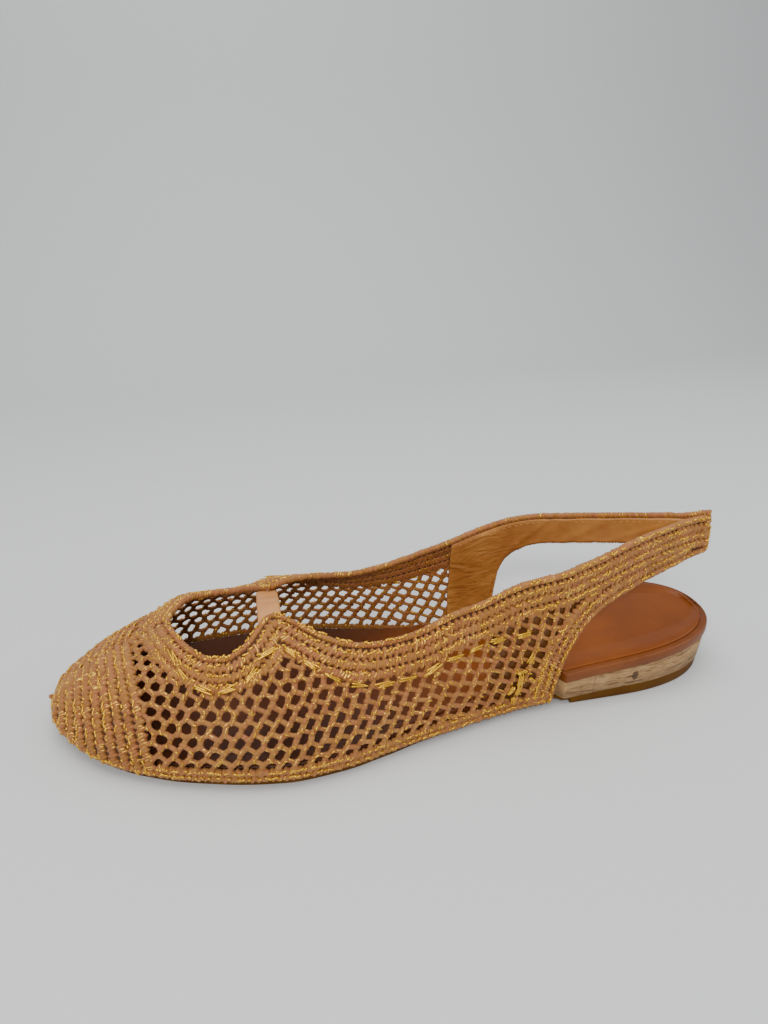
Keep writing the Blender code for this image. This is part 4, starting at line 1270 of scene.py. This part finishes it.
class SLINGBACK_OT_sole(bpy.types.Operator):
    """Outsole with its heel lift, cork wedge, leather covered footbed and sock"""
    bl_idname = "slingback.sole"
    bl_label = "Sole and footbed"

    def execute(self, context):
        looks = context.scene.slingback
        skins()

        def inset(rim):
            return lambda t: rim + (BED_INSET - rim) * ease((t - 0.46) / 0.08) + toe_peel(t)

        def rise(share):
            """Bottom lifted by a share of the wear-rounded edge, less where the outsole is thin."""
            return lambda t: outsole_bottom(t) + share * OUTSOLE_EDGE * np.minimum(
                1.0, (outsole_top(t) - outsole_bottom(t)) / OUTSOLE_THIN)

        piece = sole_piece("outsole_rubber", 0.0, (
            (inset(2.6 * MM), HEEL_TAPER + OUTSOLE_EDGE, outsole_bottom),
            (inset(2.1 * MM), HEEL_TAPER + OUTSOLE_EDGE * 0.3, rise(0.35)),
            (inset(1.9 * MM), HEEL_TAPER, rise(1.0)),
            (inset(1.65 * MM), HEEL_TAPER * 0.78, lambda t: outsole_top(t) - 0.25 * MM),
            (inset(1.8 * MM), HEEL_TAPER * 0.80, outsole_top),
        ), finish("moulded_caramel_rubber", rubber))
        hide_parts("outsole")
        piece = sole_piece("cork_wedge", CORK_START, (
            (bed_inset, HEEL_TAPER * 0.72, lambda t: outsole_top(t) + FIT * 0.2),
            (bed_inset, HEEL_TAPER * 0.48, lambda t: outsole_top(t) * 0.5 + cork_top(t) * 0.5),
            (bed_inset, CORK_INSET, cork_top),
        ), finish("pressed_cork", cork))
        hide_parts("wedge")
        rim_top = lambda t: bed_top(t) + RIM_RISE * ease((t - 0.5) / 0.1)
        levels = [(lambda t: bed_inset(t) + BED_ROLL * 0.6, BED_ROLL * 0.6, bed_bottom)]
        levels += rolled(bed_inset, 0.0, lambda t: bed_bottom(t) + 0.05 * MM,
                         BED_ROLL * 0.5, BED_ROLL * 0.6, 4, True)
        levels += rolled(bed_inset, 0.0, rim_top, BED_ROLL, BED_ROLL, 5)
        # the footbed cover's forepart carries painted shade, darkened from the ball to the toe
        tan = finish("edge_painted_leather", leather, linear("7C441C"), linear("5E2D0A"), 0.46,
                     grain=0.6, worn=0.6)
        piece = sole_piece("footbed_cover", 0.0, levels, tan, dish=BED_DISH + RIM_RISE)
        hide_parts("footbed")
        sock_inset = lambda t: BED_INSET + SOCK_INSET * 0.6 + 2.0 * toe_peel(t)
        sock_top = lambda t: bed_top(t) + FIT + SOCK_THICK - SOCK_SINK
        heel = SOCK_INSET + SOCK_BACK
        levels = [(sock_inset, heel, lambda t: bed_top(t) + FIT * 0.3)]
        levels += rolled(sock_inset, heel, sock_top, 0.7 * MM, 0.45 * MM, 4)
        # the sock's forepart carries painted shade, darkened from the ball to the toe
        polished = finish("polished_tan_sock", leather, chosen(looks.sock_colour), linear("6C3303"), 0.4,
                          grain=0.8, worn=0.75)
        piece = sole_piece("sock_leather", 0.0, levels, polished, dish=BED_DISH + 0.9 * MM)
        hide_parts("sock")
        return {"FINISHED"}


class SLINGBACK_OT_keeper(bpy.types.Operator):
    """Folded leather keeper that bridges the two peaks"""
    bl_idname = "slingback.keeper"
    bl_label = "Keeper"

    def execute(self, context):
        skins()
        u = float(spread(KEEPER_AT))
        section = {}
        for side in (-1, 1):
            pts = last_surface(np.full(61, u), np.linspace(0, 1, 61), side)
            order = np.argsort(side * pts[:, 1])
            section[side] = (side * pts[order, 1], pts[order, 2])
        reach = KEEPER_REACH + KEEPER_TUCK
        verts, faces = [], []
        count, around = 61, 20
        for i in range(count):
            s = -1.0 + 2.0 * i / (count - 1)
            y = s * reach
            skin = float(np.interp(abs(y), *section[-1 if y < 0 else 1]))
            lift = KEEPER_RISE * max(0.0, 1.0 - (y / (KEEPER_REACH - 2.2 * MM)) ** 2)
            z = skin - WALL - FIT - KEEPER_THICK * 0.5 - 0.5 * MM + lift
            lap = 0.35 * MM * float(ease((s - 0.16) / 0.03))
            half = KEEPER_WIDTH * 0.5 * (1.0 - 0.06 * s) + lap * 0.5
            for k in range(around):
                q = 2 * math.pi * k / around
                c, v = math.cos(q), math.sin(q)
                px = half * math.copysign(abs(c) ** 0.35, c)
                pz = (KEEPER_THICK * 0.5 + lap) * math.copysign(abs(v) ** 0.55, v)
                verts.append(((KEEPER_AT - 0.5) * LENGTH + px, y, z + pz))
        for i in range(count - 1):
            for k in range(around):
                a, b = i * around + k, i * around + (k + 1) % around
                faces.append((a, b, b + around, a + around))
        faces.append(tuple(range(around))[::-1])
        faces.append(tuple((count - 1) * around + k for k in range(around)))
        tan = finish("folded_keeper_leather", leather, linear("C98E55"), linear("AD7240"), 0.45, grain=0.7)
        piece = mesh_piece("keeper_leather", np.array(verts) + STATE["shift"], faces, tan)
        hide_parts("keeper")
        return {"FINISHED"}


class SLINGBACK_OT_stage(bpy.types.Operator):
    """Pale seamless floor, soft studio light and the camera at the photograph's angle"""
    bl_idname = "slingback.stage"
    bl_label = "Stage, light and camera"

    def execute(self, context):
        scene = context.scene
        verts, faces = [], []
        profile = [(-1.6, 0.0), (0.55, 0.0)]
        for k in range(1, 13):
            q = math.pi / 2 * k / 12
            profile.append((0.55 + 0.35 * math.sin(q), 0.35 * (1 - math.cos(q))))
        profile.append((0.90, 2.2))
        for y, z in profile:
            verts += [(-2.6, y, z), (2.6, y, z)]
        for k in range(len(profile) - 1):
            faces.append((2 * k, 2 * k + 1, 2 * k + 3, 2 * k + 2))
        mesh = bpy.data.meshes.new("floor")
        mesh.from_pydata(verts, [], faces)
        mesh.materials.append(finish("matt_grey_paper", mottled, on_object, 500.0, "CFD1D1", "D4D6D6", 0.9))
        mesh.polygons.foreach_set("use_smooth", [True] * len(mesh.polygons))
        floor = bpy.data.objects.new("floor", mesh)
        scene.collection.objects.link(floor)
        world = bpy.data.worlds.new("studio")
        world.use_nodes = True
        world.node_tree.nodes["Background"].inputs[0].default_value = (0.92, 0.95, 1.0, 1.0)
        world.node_tree.nodes["Background"].inputs[1].default_value = 0.42
        scene.world = world
        rows = (("name", "x", "y", "z", "size", "power", "red", "green", "blue"),
                ("softbox_over", -0.10, 0.10, 0.95, 0.90, 7.5, 1.0, 0.98, 0.95),
                ("softbox_front", -0.55, -0.75, 0.60, 0.60, 4.0, 1.0, 0.98, 0.96),
                ("softbox_right", 0.75, -0.15, 0.55, 0.45, 2.4, 0.95, 0.98, 1.0),
                ("lamp_camera", -0.16, -0.80, 0.74, 0.10, 3.6, 1.0, 0.98, 0.95))
        for name, x, y, z, size, power, red, green, blue in rows[1:]:
            light = bpy.data.lights.new(name, "AREA")
            light.shape, light.size, light.energy = "SQUARE", size, power
            light.color = (red, green, blue)
            lamp = bpy.data.objects.new(name, light)
            lamp.location = (x, y, z)
            lamp.rotation_euler = (-Vector((x, y, z - 0.03))).to_track_quat("-Z", "Y").to_euler()
            scene.collection.objects.link(lamp)
        camera = bpy.data.cameras.new("camera")
        camera.sensor_width = 36.0
        camera.lens = 25.781
        camera.clip_start, camera.clip_end = 0.01, 20.0
        eye = bpy.data.objects.new("camera", camera)
        right = Vector((0.97902, -0.20187, -0.02794))
        up = Vector((0.10425, 0.37827, 0.91981))
        back = right.cross(up)
        eye.matrix_world = Matrix.Translation((-0.050475, -0.247639, 0.18637)) @ Matrix(
            (right, up, back)).transposed().to_4x4()
        scene.collection.objects.link(eye)
        scene.camera = eye
        return {"FINISHED"}


class SlingbackLooks(bpy.types.PropertyGroup):
    row_pitch: bpy.props.FloatProperty(name="Row pitch", description="Width of one dense crochet row",
                                       default=3.6 * MM, unit="LENGTH")
    stitch_pitch: bpy.props.FloatProperty(name="Stitch pitch",
                                          description="Step from stitch to stitch along a row",
                                          default=2.35 * MM, unit="LENGTH")
    cap_pitch: bpy.props.FloatProperty(name="Cap row pitch", description="Width of one toe cap row",
                                       default=3.9 * MM, unit="LENGTH")
    cap_rows: bpy.props.IntProperty(name="Cap rows",
                                    description="Dense rows across the toe cap", default=10, min=3)
    net_pitch_x: bpy.props.FloatProperty(name="Net pitch along",
                                         description="Step between holes along the shoe",
                                         default=5.4 * MM, unit="LENGTH")
    net_pitch_z: bpy.props.FloatProperty(name="Net pitch up", description="Step between rows of holes",
                                         default=4.6 * MM, unit="LENGTH")
    net_loose: bpy.props.FloatProperty(name="Net looseness",
                                       description="How far a knot strays from its even place",
                                       default=0.36 * MM, unit="LENGTH")
    strand_width: bpy.props.FloatProperty(name="Strand width", description="Width of one strand of the net",
                                          default=1.9 * MM, unit="LENGTH")
    seed: bpy.props.IntProperty(name="Seed", description="Start of the uneven stitches", default=7)
    gold_colour: bpy.props.FloatVectorProperty(name="Gold thread",
                                               description="Colour of the metallic thread",
                                               subtype="COLOR", size=3, default=linear("FFCE48")[:3])
    lining_colour: bpy.props.FloatVectorProperty(name="Lining", description="Colour of the lining leather",
                                                 subtype="COLOR", size=3, default=linear("C48944")[:3])
    sock_colour: bpy.props.FloatVectorProperty(name="Sock", description="Colour of the sock leather",
                                               subtype="COLOR", size=3, default=linear("834204")[:3])


STEPS = ("toe_cap", "bands", "ground", "net", "gold_threads", "lining", "sole", "keeper", "stage")


class SLINGBACK_PT_panel(bpy.types.Panel):
    """Steps of the slingback flat"""
    bl_label = "Slingback flat"
    bl_idname = "SLINGBACK_PT_panel"
    bl_space_type = "VIEW_3D"
    bl_region_type = "UI"
    bl_category = "Slingback"

    def draw(self, context):
        looks = context.scene.slingback
        for name in ("row_pitch", "stitch_pitch", "cap_pitch", "cap_rows", "net_pitch_x", "net_pitch_z",
                     "net_loose", "strand_width", "seed", "gold_colour", "lining_colour", "sock_colour"):
            self.layout.prop(looks, name)
        for name in STEPS:
            self.layout.operator("slingback." + name)


CLASSES = (SlingbackLooks, SLINGBACK_OT_toe_cap, SLINGBACK_OT_bands, SLINGBACK_OT_ground, SLINGBACK_OT_net,
           SLINGBACK_OT_gold_threads, SLINGBACK_OT_lining, SLINGBACK_OT_sole, SLINGBACK_OT_keeper,
           SLINGBACK_OT_stage, SLINGBACK_PT_panel)


def register():
    for cls in CLASSES:
        bpy.utils.register_class(cls)
    bpy.types.Scene.slingback = bpy.props.PointerProperty(type=SlingbackLooks)


def unregister():
    del bpy.types.Scene.slingback
    for cls in reversed(CLASSES):
        bpy.utils.unregister_class(cls)


def main():
    register()
    for name in STEPS:
        getattr(bpy.ops.slingback, name)()
    bpy.context.view_layer.update()


if __name__ == "__main__":
    main()
